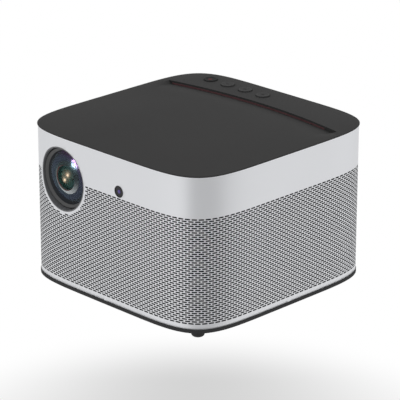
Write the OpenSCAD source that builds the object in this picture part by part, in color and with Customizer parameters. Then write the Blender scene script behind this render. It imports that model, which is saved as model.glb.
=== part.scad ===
// Home projector: a squircle-plan box with a perforated shell, a top cover with a light groove,
// a recessed wide-angle lens, and the optics, cooling, sound and electronics inside it.
// Origin: centre of the footprint at the feet's soles. Front (lens) faces -Y, +X is right, +Z is up.

/* [Body] */
// Overall width and depth over the top cover
body_size = 201; // [190:1:215]
// Height from the feet's soles to the flat of the top cover
cover_top_z = 134; // [132:0.5:140]
// Superellipse exponent of the plan outline (higher is squarer)
plan_power = 5.77; // [5:0.01:7]
// How far the top cover stands out past the shell
cover_overhang = 0.4; // [0.2:0.1:0.8]
// Height of the cover's edge that shows above the shell
cover_edge = 1.1; // [0.8:0.1:1.6]
// Shell wall thickness
shell_wall = 1.6; // [1.2:0.1:1.8]

/* [Base] */
// Bottom of the base's rim
rim_bottom_z = 8.9; // [8.6:0.1:10]
// Top of the base's rim, where the shell starts
rim_top_z = 11.6; // [11:0.1:12]
// How far the raised platform under the base is set in from the outline
platform_inset = 10.5; // [9:0.5:11]
// Height of a foot below the platform
foot_height = 5.6; // [5:0.1:6]
// Foot radius
foot_r = 5.2; // [4:0.1:5.4]
// Foot centre in X and in Y
foot_place = 77.5; // [74:0.1:77.5]

/* [Lens] */
// Lens axis in X
lens_x = -50; // [-52:0.5:-48]
// Lens axis height
lens_z = 98.6; // [97:0.1:100]
// Radius of the opening in the shell
lens_opening_r = 25.9; // [25:0.1:26.5]
// Radius of the front glass
front_glass_r = 21.7; // [20.8:0.1:21.8]
// Number of teeth on the focus ring
ring_teeth = 48; // [48:4:60]
// Number of teeth on the focus pinion
pinion_teeth = 12; // [12:1:14]

/* [Top groove] */
// Radius in plan of the groove's rear wall
groove_r = 450; // [400:10:500]
// Y of the rear wall at the middle
groove_back_y = 68; // [66:0.5:70]
// Depth of the groove at the rear wall
groove_depth = 3; // [2:0.1:3.2]
// Length of the ramp in front of the groove
ramp_length = 31; // [24:1:34]
// Half of the groove's length
groove_half = 93; // [85:0.5:94]

/* [Keys] */
// Radius of a key
key_r = 5.6; // [5:0.1:6]
// X of the first key
first_key_x = -69.2; // [-72:0.1:-66]
// Distance between keys
key_pitch = 19.8; // [18:0.1:21]
// Y of the row of keys
key_y = 83; // [82:0.1:84]
// Height of a key above the cover
key_rise = 1; // [0.6:0.1:1.2]
// Clearance round a key
key_gap = 0.3; // [0.3:0.05:0.5]

/* [Rear ports] */
// Width of the window in the shell
port_window_w = 124; // [118:1:126]
// Bottom of the window
port_window_z0 = 19.5; // [19:0.5:20]
// Top of the window
port_window_z1 = 42.5; // [42:0.5:44]

/* [Sound and cooling] */
// Speaker centre in X, left and right
speaker_x = 41; // [40:0.5:42]
// Speaker centre height
speaker_z = 39.5; // [38.5:0.5:40]
// Radius of a fan's impeller
impeller_r = 32; // [30:0.5:32]
// Blades on each impeller
blade_count = 9; // [7:1:11]

/* [Hidden] */

$fn = 64;
nudge = 0.5;              // how far a cutter runs past a face
outline_steps = 96;       // points round the plan outline

cover_half = body_size / 2;
shell_half = cover_half - cover_overhang;
shell_top_z = cover_top_z - cover_edge;
inner_half = shell_half - shell_wall;
fit_gap = 0.3;            // assembly clearance between fixed parts

// Base
base_floor = 2.4;
base_wall = 2.2;
lip_wall = 1.6;
lip_height = 4.4;
tray_z = rim_top_z + 0.6;
tray_thick = 2;
tray_half = inner_half - fit_gap - lip_wall - 1;
tray_top_z = tray_z + tray_thick;
base_screw_spots = [[-60, -72], [60, -72], [-60, 72], [60, 72]];
post_spots = [[-79, -66], [79, -66], [-84, 79], [84, 79]];
post_r = 4;
insert_r = 4.6;
insert_length = 10;
tripod_thread_r = 3.175;
tripod_thread_length = 9;

// Top cover
deck_thick = 1.3;
deck_bottom_z = shell_top_z - deck_thick;
skirt_bottom_z = 127.4;
skirt_wall = 1.8;
groove_skin = 2;
ramp_steps = 12;
ramp_power = 2.5;
groove_centre_y = groove_back_y - groove_r;
groove_angle = asin(groove_half / groove_r);
groove_bottom_z = cover_top_z - groove_depth;
bar_height = 1.4;
bar_depth = 3;
bar_left = asin(90 / groove_r);
bar_right = asin(77 / groove_r);

// Keys
key_hole_r = key_r + key_gap;
key_flange_r = key_hole_r + 0.9;
key_flange = 0.6;
key_stem_r = 1.6;
key_flange_top_z = deck_bottom_z - 0.1;
key_board_top_z = 128.6;
key_board_thick = 1.2;
dome_height = 0.9;
key_travel = 0.4;
key_stem_bottom_z = key_board_top_z + dome_height + key_travel + 0.1;

// Lens
bezel_wall = 0.7;
bezel_depth_y = -90.4;
bezel_back_r = 24.9;
flange_r = 27.4;
flange_thick = 2;
front_glass_y = -97;
front_glass_curve = 65;
front_glass_hollow_r = 15;
front_glass_hollow_curve = 20;
front_glass_back_y = -86.2;
nose_y = -95;             // front of the barrel's nose, inside the bezel
nose_r = 24.4;
barrel_head_r = 27.4;
barrel_head_back_y = -78;
barrel_r = 20;
barrel_bore_r = 17;
barrel_back_y = -38;
cell_gap = 0.05;
cell_front_y = -77;
cell_back_y = -56;
ring_gap = 0.06;
ring_front_y = -72;
ring_back_y = -60;
gear_module = 1;
pressure_angle = 25;
addendum = 0.8;
gear_clearance = 0.3;
backlash = 0.12;          // gap at the pitch circle, taken off each tooth, in mm
ring_pitch_r = gear_module * ring_teeth / 2;
pinion_pitch_r = gear_module * pinion_teeth / 2;
pinion_angle = -62;       // direction from the lens axis to the pinion, from +X towards +Z
motor_r = 6;
motor_front_y = -56;
motor_back_y = -39;
motor_shaft_r = 1;

// Optical engine
engine_low = [-76, -38, 74];
engine_high = [-22, 20, 122];
engine_wall = 2.5;
engine_lid = 2;
led_stand_off = 1.7;

// Sensor window
sensor_x = 15.5;
sensor_z = 105.7;
sensor_r = 4.7;

// Rear ports
port_face_y = 97;
port_plate = 2;
board_z = 20;
board_thick = 1.6;
board_top_z = board_z + board_thick;
inlet_x = -52;
optical_x = -37;
lan_x = -20;
hdmi_x = [0, 18];
usb_x = 36;
headphone_x = 52;

// Fans: centre of each housing
left_fan = [-85.5, 37, 50];
right_fan = [85.5, 20, 62];
fan_size = 70;
fan_thick = 15;
fan_bore_r = impeller_r + 1;
fan_hub_r = 14.5;
blade_pitch = 38;

// Speakers
box_low = [-31, -92, 16.5];
box_high = [31, -45, 62];
box_wall = 2;
driver_r = 22.5;
cone_r = 17;

function sign_power(v, p) = sign(v) * pow(abs(v), p);

// Point of the superellipse outline at angle t, moved in along its normal by inset
function squircle_point(half, t, inset) =
    let (x = half * sign_power(cos(t), 2 / plan_power), y = half * sign_power(sin(t), 2 / plan_power))
    let (nx = sign_power(x / half, plan_power - 1), ny = sign_power(y / half, plan_power - 1))
    let (l = norm([nx, ny]))
    [x - inset * nx / l, y - inset * ny / l];

function squircle(half, inset = 0) =
    [for (i = [0 : outline_steps - 1]) squircle_point(half, 360 * i / outline_steps, inset)];

// Angle in degrees between the tooth's flank and the base circle's start, at radius r
function involute_angle(base_r, r) = let (a = acos(min(1, base_r / r))) tan(a) * 180 / PI - a;

// Half the tooth's angle at radius r
function tooth_half_angle(teeth, r) =
    let (pitch_r = gear_module * teeth / 2, base_r = pitch_r * cos(pressure_angle))
    90 / teeth - backlash / 2 / pitch_r * 180 / PI
        + involute_angle(base_r, pitch_r) - involute_angle(base_r, max(r, base_r));

function polar(r, a) = [r * cos(a), r * sin(a)];

// Outline of an involute spur gear with a tooth centred on +X
function gear_outline(teeth) =
    let (pitch_r = gear_module * teeth / 2, tip_r = pitch_r + addendum * gear_module)
    let (root_r = pitch_r - (addendum + gear_clearance) * gear_module)
    let (base_r = pitch_r * cos(pressure_angle), low_r = max(root_r, base_r))
    let (radii = [root_r, low_r, (low_r + pitch_r) / 2, pitch_r, (pitch_r + tip_r) / 2, tip_r])
    [for (i = [0 : teeth - 1], side = [-1, 1], k = [0 : len(radii) - 1])
        let (r = side < 0 ? radii[k] : radii[len(radii) - 1 - k])
        if (!(k == (side < 0 ? 0 : len(radii) - 1) && low_r == root_r))
            polar(r, 360 * i / teeth + side * tooth_half_angle(teeth, r))];

module slab(half, z0, z1, inset = 0) {
    translate([0, 0, z0]) linear_extrude(z1 - z0) polygon(squircle(half, inset));
}

module tube_wall(half, wall, z0, z1) {
    difference() {
        slab(half, z0, z1);
        slab(half, z0 - nudge, z1 + nudge, inset = wall);
    }
}

// Box from its lowest to its highest corner
module box(low, high) {
    translate(low) cube(high - low);
}

// Cylinder along Y from y0 to y1
module rod_y(x, z, r, y0, y1) {
    translate([x, y0, z]) rotate([-90, 0, 0]) cylinder(h = y1 - y0, r = r);
}

// Cylinder along X from x0 to x1
module rod_x(y, z, r, x0, x1) {
    translate([x0, y, z]) rotate([0, 90, 0]) cylinder(h = x1 - x0, r = r);
}

// Upright cylinder
module rod_z(x, y, r, z0, z1) {
    translate([x, y, z0]) cylinder(h = z1 - z0, r = r);
}

// Turns a profile of [radius, y] points about an axis along Y through x, z
module turned_y(x, z, points) {
    translate([x, 0, z]) rotate([-90, 0, 0]) rotate_extrude($fn = 96) polygon(points);
}

// Ring sector in plan, about the groove's centre, from angle a0 to a1 clockwise from +Y
module groove_sector(points, a0, a1) {
    translate([0, groove_centre_y, 0])
        rotate([0, 0, 90 - a1]) rotate_extrude(angle = a1 - a0, $fn = 720) polygon(points);
}

// ---- shell, cover, base ----

module outer_shell() {
    color([0.82, 0.83, 0.85]) difference() {
        tube_wall(shell_half, shell_wall, rim_top_z, shell_top_z);
        rod_y(lens_x, lens_z, lens_opening_r, -cover_half - nudge, -80);
        rod_y(sensor_x, sensor_z, sensor_r, -cover_half - nudge, -80);
        port_window(0, 80, cover_half + nudge);
    }
}

// Rounded window, grown by grow, cut from y0 to y1
module port_window(grow, y0, y1) {
    corner = 3;
    x = port_window_w / 2 - corner;
    z0 = port_window_z0 + corner;
    z1 = port_window_z1 - corner;
    for (sx = [-x, x], z = [z0, z1]) rod_y(sx, z, corner + grow, y0, y1);
    box([-x - corner - grow, y0, z0], [x + corner + grow, y1, z1]);
    box([-x, y0, z0 - corner - grow], [x, y1, z1 + corner + grow]);
}

module dust_screen() {
    color([0.06, 0.06, 0.065]) difference() {
        tube_wall(inner_half - fit_gap, 0.5, 16.4, 103);
        rod_y(lens_x, lens_z, lens_opening_r + 4, -cover_half - nudge, -80);
        rod_y(sensor_x, sensor_z, sensor_r + 2, -cover_half - nudge, -80);
        port_window(3, 80, cover_half + nudge);
    }
}

function ramp_z(s) = cover_top_z - groove_depth * pow(s, ramp_power);

// Section of the ramp from its front edge to the rear wall
ramp_points = [for (i = [0 : ramp_steps])
    [groove_r - ramp_length + ramp_length * i / ramp_steps, ramp_z(i / ramp_steps)]];

module top_cover() {
    skin_low_z = groove_bottom_z - groove_skin;
    color([0.25, 0.25, 0.255]) difference() {
        union() {
            slab(cover_half, shell_top_z, cover_top_z);
            slab(inner_half, deck_bottom_z, shell_top_z, inset = fit_gap);
            difference() {
                slab(inner_half, skirt_bottom_z, deck_bottom_z, inset = fit_gap);
                slab(inner_half, skirt_bottom_z - nudge, deck_bottom_z + nudge / 4,
                    inset = fit_gap + skirt_wall);
            }
            groove_sector(concat([[groove_r + 3, skin_low_z], [groove_r + 3, shell_top_z]],
                [[groove_r - ramp_length, shell_top_z], [groove_r - ramp_length / 2, deck_bottom_z - 0.5],
                 [groove_r - 3, skin_low_z]]), -groove_angle - 0.25, groove_angle + 0.25);
            for (p = post_spots) rod_z(p[0], p[1], post_r, 127, shell_top_z);
        }
        groove_sector(concat(ramp_points, [[groove_r, cover_top_z + 1],
            [groove_r - ramp_length, cover_top_z + 1]]), -groove_angle, groove_angle);
        groove_sector(bar_section(0.4), -bar_left, bar_right);
        for (i = [0 : 3]) rod_z(key_x(i), key_y, key_hole_r, deck_bottom_z - 1, cover_top_z + nudge);
    }
}

function key_x(i) = first_key_x + key_pitch * i;

// Section of the light bar, its front face in the plane of the groove's rear wall, grown by spare
function bar_section(spare) =
    let (z0 = groove_bottom_z + 0.01, z1 = z0 + bar_height)
    let (r0 = groove_r - spare, r1 = groove_r + bar_depth + spare)
    [[r0, z0], [r1, z0], [r1, z1], [r0, z1]];

module light_bar() {
    color([0.27, 0.1, 0.1]) groove_sector(bar_section(0), -bar_left, bar_right);
}

module light_bar_board() {
    r = groove_r + bar_depth;
    color([0.1, 0.3, 0.16]) {
        groove_sector([[r + 0.8, 127.8], [r + 1.8, 127.8], [r + 1.8, 131.4], [r + 0.8, 131.4]],
            -bar_left, bar_right);
        for (a = [-10 : 2.2 : 9])
            translate([0, groove_centre_y, 0]) rotate([0, 0, -a])
                box([-1, r + 0.1, groove_bottom_z - 0.2], [1, r + 0.85, deck_bottom_z - 0.1]);
    }
}

module key_board() {
    x0 = first_key_x - 10;
    x1 = key_x(3) + 12;
    color([0.1, 0.3, 0.16]) {
        box([x0, key_y - 6, key_board_top_z - key_board_thick], [x1, key_y + 6.5, key_board_top_z]);
        box([x1 - 5, key_y + 1, key_board_top_z - key_board_thick - 2],
            [x1 - 1, key_y + 6, key_board_top_z - key_board_thick]);
    }
    color([0.75, 0.75, 0.72]) for (i = [0 : 3])
        translate([key_x(i), key_y, key_board_top_z]) rotate_extrude()
            polygon([[0, 0], [2.6, 0], [2.2, 0.5], [1.2, dome_height], [0, dome_height]]);
}

// A key: cap with a small edge break, retaining flange and stem. dish sinks the cap's face.
module key_cap(i, dish) {
    top = cover_top_z + key_rise;
    translate([key_x(i), key_y, 0]) rotate_extrude()
        polygon([[0, key_stem_bottom_z], [key_stem_r, key_stem_bottom_z],
            [key_stem_r, key_flange_top_z - key_flange], [key_flange_r, key_flange_top_z - key_flange],
            [key_flange_r, key_flange_top_z], [key_r, key_flange_top_z], [key_r, top - 0.4],
            [key_r - 0.4, top], [key_r - 0.9, top], [key_r - 2.2, top - dish * 0.7], [0, top - dish]]);
}

module power_key() {
    color([0.22, 0.22, 0.225]) key_cap(0, 0.9);
}

module minus_key() {
    color([0.27, 0.27, 0.275]) key_cap(1, 0.15);
}

module play_key() {
    color([0.27, 0.27, 0.275]) key_cap(2, 0.15);
}

module plus_key() {
    color([0.27, 0.27, 0.275]) key_cap(3, 0.15);
}

module base_plate() {
    floor_top_z = foot_height + base_floor;
    color([0.2, 0.2, 0.21]) difference() {
        union() {
            slab(cover_half, rim_bottom_z, rim_top_z);
            slab(shell_half, foot_height, rim_bottom_z, inset = platform_inset);
            difference() {
                slab(inner_half, rim_top_z, rim_top_z + lip_height, inset = fit_gap);
                slab(inner_half, rim_top_z - nudge, rim_top_z + lip_height + nudge,
                    inset = fit_gap + lip_wall);
            }
        }
        difference() {
            slab(shell_half, floor_top_z, rim_top_z + 0.01, inset = platform_inset + base_wall);
            rod_z(0, 0, insert_r + 3, foot_height, rim_top_z + nudge);
            for (p = base_screw_spots) rod_z(p[0], p[1], 4.5, foot_height, rim_top_z + nudge);
        }
        rod_z(0, 0, insert_r, foot_height - nudge, rim_top_z + nudge);
        for (p = base_screw_spots) {
            rod_z(p[0], p[1], 1.7, foot_height - nudge, rim_top_z + nudge);
            rod_z(p[0], p[1], 3.3, foot_height - nudge, foot_height + 1.8);
        }
        for (sx = [-1, 1], sy = [-1, 1])
            rod_z(sx * foot_place, sy * foot_place, foot_r, foot_height - nudge, foot_height + 0.8);
        for (i = [-6 : 6], side = [-1, 1])
            box([side * 42 - 22, i * 6 - 1.5, foot_height - nudge],
                [side * 42 + 22, i * 6 + 1.5, floor_top_z + nudge]);
    }
}

module rubber_feet() {
    round_r = 2.2;
    color([0.13, 0.13, 0.13]) for (sx = [-1, 1], sy = [-1, 1])
        translate([sx * foot_place, sy * foot_place, 0]) rotate_extrude()
            polygon(concat([[0, 0]],
                [for (a = [0 : 15 : 90])
                    [foot_r - round_r + round_r * sin(a), round_r - round_r * cos(a)]],
                [[foot_r, foot_height + 0.8], [0, foot_height + 0.8]]));
}

module tripod_insert() {
    color([0.75, 0.6, 0.3]) difference() {
        rod_z(0, 0, insert_r, foot_height, foot_height + insert_length);
        rod_z(0, 0, tripod_thread_r, foot_height - nudge, foot_height + tripod_thread_length);
    }
}

module base_screws() {
    color([0.3, 0.3, 0.31]) for (p = base_screw_spots) difference() {
        union() {
            rod_z(p[0], p[1], 2.8, foot_height + 0.4, foot_height + 1.8);
            rod_z(p[0], p[1], 1.4, foot_height + 1.8, tray_top_z + 0.8);
        }
        for (a = [0, 90]) translate([p[0], p[1], foot_height]) rotate([0, 0, a])
            box([-1.6, -0.35, 0], [1.6, 0.35, 1.2]);
    }
}

module chassis_frame() {
    color([0.16, 0.16, 0.17]) difference() {
        union() {
            slab(tray_half, tray_z, tray_top_z);
            for (p = base_screw_spots) rod_z(p[0], p[1], 3.6, rim_top_z, tray_top_z + 1.3);
            for (p = post_spots) rod_z(p[0], p[1], post_r, tray_z, 127);
            for (x = [-72, -26], y = [-30, 12]) rod_z(x, y, 3, tray_z, engine_low[2]);
            for (x = [-56, 56], y = [30, 74]) rod_z(x, y, 3, tray_z, board_z);
            for (x = [-14, 36], y = [-36, 10]) rod_z(x, y, 3, tray_z, board_z);
            for (x = [64, 72]) box([x, -10, tray_z], [x + 3, 50, 28]);
            for (x = [-74, -66]) box([x, 22, tray_z], [x + 3, 64, 27]);
            for (y = [-12, 49]) box([79, y, tray_z], [91, y + 3, right_fan[2] - fan_size / 2]);
            box([-92, 3, tray_z], [-79, 71, left_fan[2] - fan_size / 2]);
            for (y = [-88, -50]) box([-70, y, tray_z], [70, y + 3, box_low[2]]);
        }
        for (p = base_screw_spots) rod_z(p[0], p[1], 1.5, rim_top_z - nudge, tray_top_z + 1);
        rod_z(0, 0, insert_r + 0.6, tray_z - nudge, tray_top_z + nudge);
        for (x = [-44, 14], y = [-66, -22, 34])
            box([x, y - 8, tray_z - nudge], [x + 30, y + 8, tray_top_z + nudge]);
    }
}

// ---- projection lens ----

module lens_bezel() {
    front_y = -cover_half;
    front_r = lens_opening_r - fit_gap / 2;
    color([0.3, 0.3, 0.31]) intersection() {
        turned_y(lens_x, lens_z, [[front_r - bezel_wall, front_y], [front_r, front_y],
            [front_r, bezel_depth_y - flange_thick], [flange_r, bezel_depth_y - flange_thick],
            [flange_r, bezel_depth_y], [bezel_back_r, bezel_depth_y]]);
        slab(shell_half, 60, 130, inset = 0.25);
    }
}

module lens_barrel() {
    y = front_glass_back_y;
    seat_y = front_glass_y + sag(front_glass_curve, front_glass_r);
    color([0.07, 0.07, 0.075]) {
        turned_y(lens_x, lens_z, [[front_glass_r + 0.1, seat_y - 0.1], [nose_r - 0.6, nose_y],
            [nose_r, nose_y + 0.4], [nose_r, bezel_depth_y], [barrel_head_r, bezel_depth_y],
            [barrel_head_r, barrel_head_back_y], [barrel_r, barrel_head_back_y],
            [barrel_r, barrel_back_y], [barrel_bore_r, barrel_back_y],
            [barrel_bore_r, cell_front_y - 3], [16.2, cell_front_y - 3], [16.2, y + 2.4],
            [18.4, y + 1.6], [18.4, y + 0.8], [20.6, y], [front_glass_r + 0.1, y]]);
        motor_bracket();
    }
}

// Lug under the barrel that carries the focus motor
module motor_bracket() {
    c = pinion_centre();
    difference() {
        box([c[0] - 8, motor_front_y - 2, c[1] - 8], [c[0] + 8, motor_front_y, lens_z - barrel_r + 4]);
        rod_y(c[0], c[1], motor_shaft_r + 0.5, motor_front_y - 3, motor_front_y + 1);
        rod_y(lens_x, lens_z, barrel_r - 0.5, motor_front_y - 3, motor_front_y + 1);
    }
}

function pinion_centre() =
    let (d = ring_pitch_r + pinion_pitch_r) [lens_x + d * cos(pinion_angle), lens_z + d * sin(pinion_angle)];

// Sagitta of a sphere of radius curve at distance r from its axis
function sag(curve, r) = curve - sqrt(curve * curve - r * r);

// Points of a spherical face from r0 to r1, its apex at y, bulging towards -Y when curve is positive
function lens_face(curve, y, r0, r1, n) =
    [for (i = [0 : n]) let (r = r0 + (r1 - r0) * i / n) [r, y + sign(curve) * sag(abs(curve), r)]];

module front_lens() {
    hollow_y = front_glass_y + 3.2;
    color([0.3, 0.45, 0.45, 0.6]) turned_y(lens_x, lens_z, concat(
        lens_face(front_glass_curve, front_glass_y, 0, front_glass_r, 12),
        [[front_glass_r, front_glass_back_y - 0.01]], [[front_glass_hollow_r, front_glass_back_y - 0.01]],
        lens_face(front_glass_hollow_curve, hollow_y, front_glass_hollow_r - 0.6, 0, 10)));
}

module second_lens() {
    color([0.3, 0.42, 0.42, 0.6]) turned_y(lens_x, lens_z, concat(
        lens_face(30, cell_front_y + 1, 0, 14, 8), lens_face(-40, cell_front_y + 9, 14, 0, 8)));
}

module rear_lens() {
    color([0.4, 0.45, 0.5, 0.6]) {
        turned_y(lens_x, lens_z, concat(
            lens_face(40, barrel_back_y - 10, 0, 12, 6), lens_face(-34, barrel_back_y - 2, 12, 0, 6)));
        difference() {
            rod_y(lens_x, lens_z, barrel_bore_r - 0.02, barrel_back_y - 8.2, barrel_back_y - 3.8);
            rod_y(lens_x, lens_z, 11.9, barrel_back_y - 9, barrel_back_y - 3);
        }
    }
}

module focus_cell() {
    r = barrel_bore_r - cell_gap;
    color([0.12, 0.12, 0.125]) turned_y(lens_x, lens_z, [[14.05, cell_front_y], [r, cell_front_y],
        [r, cell_back_y], [12.6, cell_back_y], [12.6, cell_back_y - 5],
        [14.6, cell_back_y - 6.5], [14.6, cell_front_y + 9.2], [14.05, cell_front_y + 8]]);
}

module focus_ring() {
    color([0.85, 0.84, 0.8]) translate([lens_x, ring_back_y, lens_z]) rotate([90, 0, 0]) difference() {
        union() {
            rotate([0, 0, pinion_angle]) linear_extrude(8) polygon(gear_outline(ring_teeth));
            cylinder(h = ring_back_y - ring_front_y, r = 22);
        }
        translate([0, 0, -nudge]) cylinder(h = 20, r = barrel_r + ring_gap);
    }
}

module focus_motor() {
    c = pinion_centre();
    color([0.7, 0.7, 0.71]) {
        rod_y(c[0], c[1], motor_r, motor_front_y, motor_back_y);
        rod_y(c[0], c[1], motor_shaft_r, -70, motor_front_y);
    }
}

module focus_pinion() {
    c = pinion_centre();
    color([0.9, 0.88, 0.82]) translate([c[0], ring_back_y - 0.5, c[1]]) rotate([90, 0, 0]) difference() {
        rotate([0, 0, pinion_angle + 180 + 180 / pinion_teeth])
            linear_extrude(7) polygon(gear_outline(pinion_teeth));
        translate([0, 0, -nudge]) cylinder(h = 9, r = motor_shaft_r + 0.05);
    }
}

// ---- optical engine ----

module engine_housing() {
    e0 = engine_low;
    e1 = engine_high;
    w = engine_wall;
    color([0.5, 0.5, 0.52]) difference() {
        box(e0, [e1[0], e1[1], e1[2] - engine_lid]);
        box(e0 + [w, w, w], [e1[0] - w, e1[1] - w, e1[2] + nudge]);
        rod_y(lens_x, lens_z, 13, e0[1] - nudge, e0[1] + w + nudge);
        rod_y(-38, lens_z, 8, e1[1] - w - nudge, e1[1] + nudge);
        rod_x(-16, lens_z, 8, e1[0] - w - nudge, e1[0] + nudge);
        rod_x(6, lens_z, 8, e1[0] - w - nudge, e1[0] + nudge);
        box([-60, -29, e0[2] - nudge], [-40, -15, e0[2] + w + nudge]);
    }
}

module engine_cover() {
    e0 = engine_low;
    e1 = engine_high;
    color([0.5, 0.5, 0.52]) {
        box([e0[0], e0[1], e1[2] - engine_lid], e1);
        for (x = [e0[0] + 6 : 8 : e1[0] - 6]) box([x, e0[1] + 6, e1[2]], [x + 2, e1[1] - 6, e1[2] + 2]);
    }
}

module prism() {
    color([0.7, 0.8, 0.85, 0.5]) {
        translate([0, 0, 87]) linear_extrude(23.6) polygon([[-62, -34], [-38, -34], [-38, -10.2]]);
        translate([0, 0, 87]) linear_extrude(23.6) polygon([[-62, -33.6], [-38.4, -10], [-62, -10]]);
    }
}

module condenser_lenses() {
    color([0.8, 0.85, 0.9, 0.5]) {
        for (y = [9, 15])
            turned_y(-38, lens_z, concat([[0, y - 1.4], [7, y - 1.4]], lens_face(-14, y + 2, 7, 0, 5)));
        for (y = [-16, 6]) translate([-27, y, lens_z]) rotate([0, 90, 0]) rotate_extrude()
            polygon([[0, -1.5], [7, -1.5], [7, 0], [5, 1.2], [3, 1.8], [0, 2.1]]);
        turned_y(-50, lens_z, concat(lens_face(16, -6, 0, 7.6, 5), lens_face(-16, -1, 7.6, 0, 5)));
    }
}

module dichroic_mirrors() {
    color([0.5, 0.6, 0.8, 0.6]) for (p = [[-38, 2], [-52, 6]])
        translate([p[0], p[1], 88.6]) rotate([0, 0, 45]) box([-6, -0.5, 0], [6, 0.5, 20]);
}

// LED on a copper core board, drawn with its emitting face towards +Z at z = 0
module led_module() {
    box([-11, -9, -2], [11, 9, 0]);
    for (x = [-8, 8]) rod_z(x, 0, 1.8, 0, 1.2);
    box([-3, -3, 0], [3, 3, 0.8]);
    translate([0, 0, 0.8]) cylinder(h = 0.5, r1 = 2.4, r2 = 2);
}

module red_led_module() {
    color([0.7, 0.4, 0.3]) translate([-38, engine_high[1] + led_stand_off, lens_z])
        rotate([90, 0, 0]) led_module();
}

module green_led_module() {
    color([0.4, 0.6, 0.35]) translate([engine_high[0] + led_stand_off, -16, lens_z])
        rotate([0, -90, 0]) led_module();
}

module blue_led_module() {
    color([0.35, 0.4, 0.7]) translate([engine_high[0] + led_stand_off, 6, lens_z])
        rotate([0, -90, 0]) led_module();
}

module image_chip_board() {
    z1 = engine_low[2] - 0.2;
    color([0.1, 0.3, 0.16]) box([-66, -38, z1 - 1.6], [-34, -6, z1]);
    color([0.15, 0.15, 0.16]) box([-59, -28, z1], [-41, -16, z1 + 1.8]);
    color([0.9, 0.9, 0.88]) box([-64, -34, z1 - 4], [-62, -12, z1 - 1.6]);
}

module image_chip_heat_sink() {
    z1 = engine_low[2] - 2.2;
    color([0.75, 0.76, 0.78]) {
        box([-60, -34, z1 - 3], [-38, -10, z1]);
        for (i = [0 : 6]) box([-60 + 3.5 * i, -34, z1 - 14], [-59 + 3.5 * i, -10, z1 - 3]);
    }
}

// ---- cooling ----

// Copper blocks behind the LED boards, and bent pipes from them to the two heat sinks
module heat_pipes() {
    r = 3;
    z = lens_z;
    low_z = z - 9;
    high_z = z + 5.4;
    back_y = 29;
    far_y = 40;
    side_x = -12;
    color([0.72, 0.45, 0.3]) {
        box([-50, 23.8, z - 10], [-26, 26.8, z + 10]);
        box([-18, -27, z - 10], [-15, 17, z + 10]);
        rod_x(back_y, low_z, r, -47, 44);
        rod_z(-47, back_y, r, 68, low_z);
        translate([-47, back_y, low_z]) sphere(r);
        rod_y(side_x, low_z, r, -24, back_y);
        rod_y(side_x, high_z, r, -24, far_y);
        translate([side_x, far_y, high_z]) sphere(r);
        rod_x(far_y, high_z, r, side_x, 52);
        translate([52, far_y, high_z]) sphere(r);
        rod_z(52, far_y, r, 94, high_z);
    }
}

// Row of upright fins along X on a base plate
module fin_block(low, high, count, thick) {
    pitch = (high[1] - low[1] - thick) / (count - 1);
    for (i = [0 : count - 1])
        box([low[0], low[1] + pitch * i, low[2]], [high[0], low[1] + pitch * i + thick, high[2]]);
}

module left_heat_sink() {
    color([0.78, 0.79, 0.8]) {
        fin_block([-76, 19, 27], [-47, 66, 65], 16, 0.8);
        box([-76, 19, 65], [-43, 66, 68]);
    }
}

module right_heat_sink() {
    color([0.78, 0.79, 0.8]) {
        fin_block([47, -12, 28], [76, 52, 94], 20, 0.8);
        box([44, -12, 28], [47, 52, 94]);
    }
}

// Fan frame with its motor plate on struts, axis along X, centred on the origin
module fan_housing() {
    h = fan_size / 2;
    t = fan_thick / 2;
    difference() {
        box([-t, -h, -h], [t, h, h]);
        rod_x(0, 0, fan_bore_r, -t - nudge, t + nudge);
        for (y = [-31, 31], z = [-31, 31]) rod_x(y, z, 2, -t - nudge, t + nudge);
    }
    rod_x(0, 0, fan_hub_r, -t + 0.2, -t + 2.2);
    for (a = [20 : 120 : 260]) rotate([a, 0, 0])
        box([-t + 0.5, fan_hub_r - 3, -1.8], [-t + 1.9, fan_bore_r + 1, 1.8]);
    rod_x(0, 0, 1.5, -t + 1, t - 4);
}

// Impeller with pitched blades, axis along X
module fan_impeller() {
    t = fan_thick / 2;
    difference() {
        rod_x(0, 0, fan_hub_r, -t + 2.6, t - 1);
        rod_x(0, 0, 1.56, -t + 2, t - 3.6);
    }
    for (i = [0 : blade_count - 1]) rotate([i * 360 / blade_count, 0, 0])
        intersection() {
            translate([1, fan_hub_r - 0.5, 0]) rotate([0, blade_pitch, 0])
                box([-0.6, 0, -7.6], [0.6, impeller_r, 7.6]);
            rod_x(0, 0, impeller_r, -t + 2.8, t - 1.2);
        }
}

module left_fan_housing() {
    color([0.1, 0.1, 0.105]) translate(left_fan) fan_housing();
}

module left_fan_impeller() {
    color([0.14, 0.14, 0.145]) translate(left_fan) fan_impeller();
}

module right_fan_housing() {
    color([0.1, 0.1, 0.105]) translate(right_fan) mirror([1, 0, 0]) fan_housing();
}

module right_fan_impeller() {
    color([0.14, 0.14, 0.145]) translate(right_fan) mirror([1, 0, 0]) fan_impeller();
}

// ---- electronics ----

module main_board() {
    color([0.08, 0.25, 0.14]) box([-62, 22, board_z], [62, 91.5, board_top_z]);
    color([0.15, 0.15, 0.16]) {
        box([-12, 40, board_top_z], [10, 62, board_top_z + 2.4]);
        for (x = [-34, 18]) for (y = [38, 54]) box([x, y, board_top_z], [x + 14, y + 11, board_top_z + 1.2]);
        for (i = [0 : 5]) box([-36 + 13 * i, 68, board_top_z], [-28 + 13 * i, 74, board_top_z + 3]);
    }
    color([0.85, 0.85, 0.82]) box([-10, 26, board_top_z], [16, 31, board_top_z + 5]);
}

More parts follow.
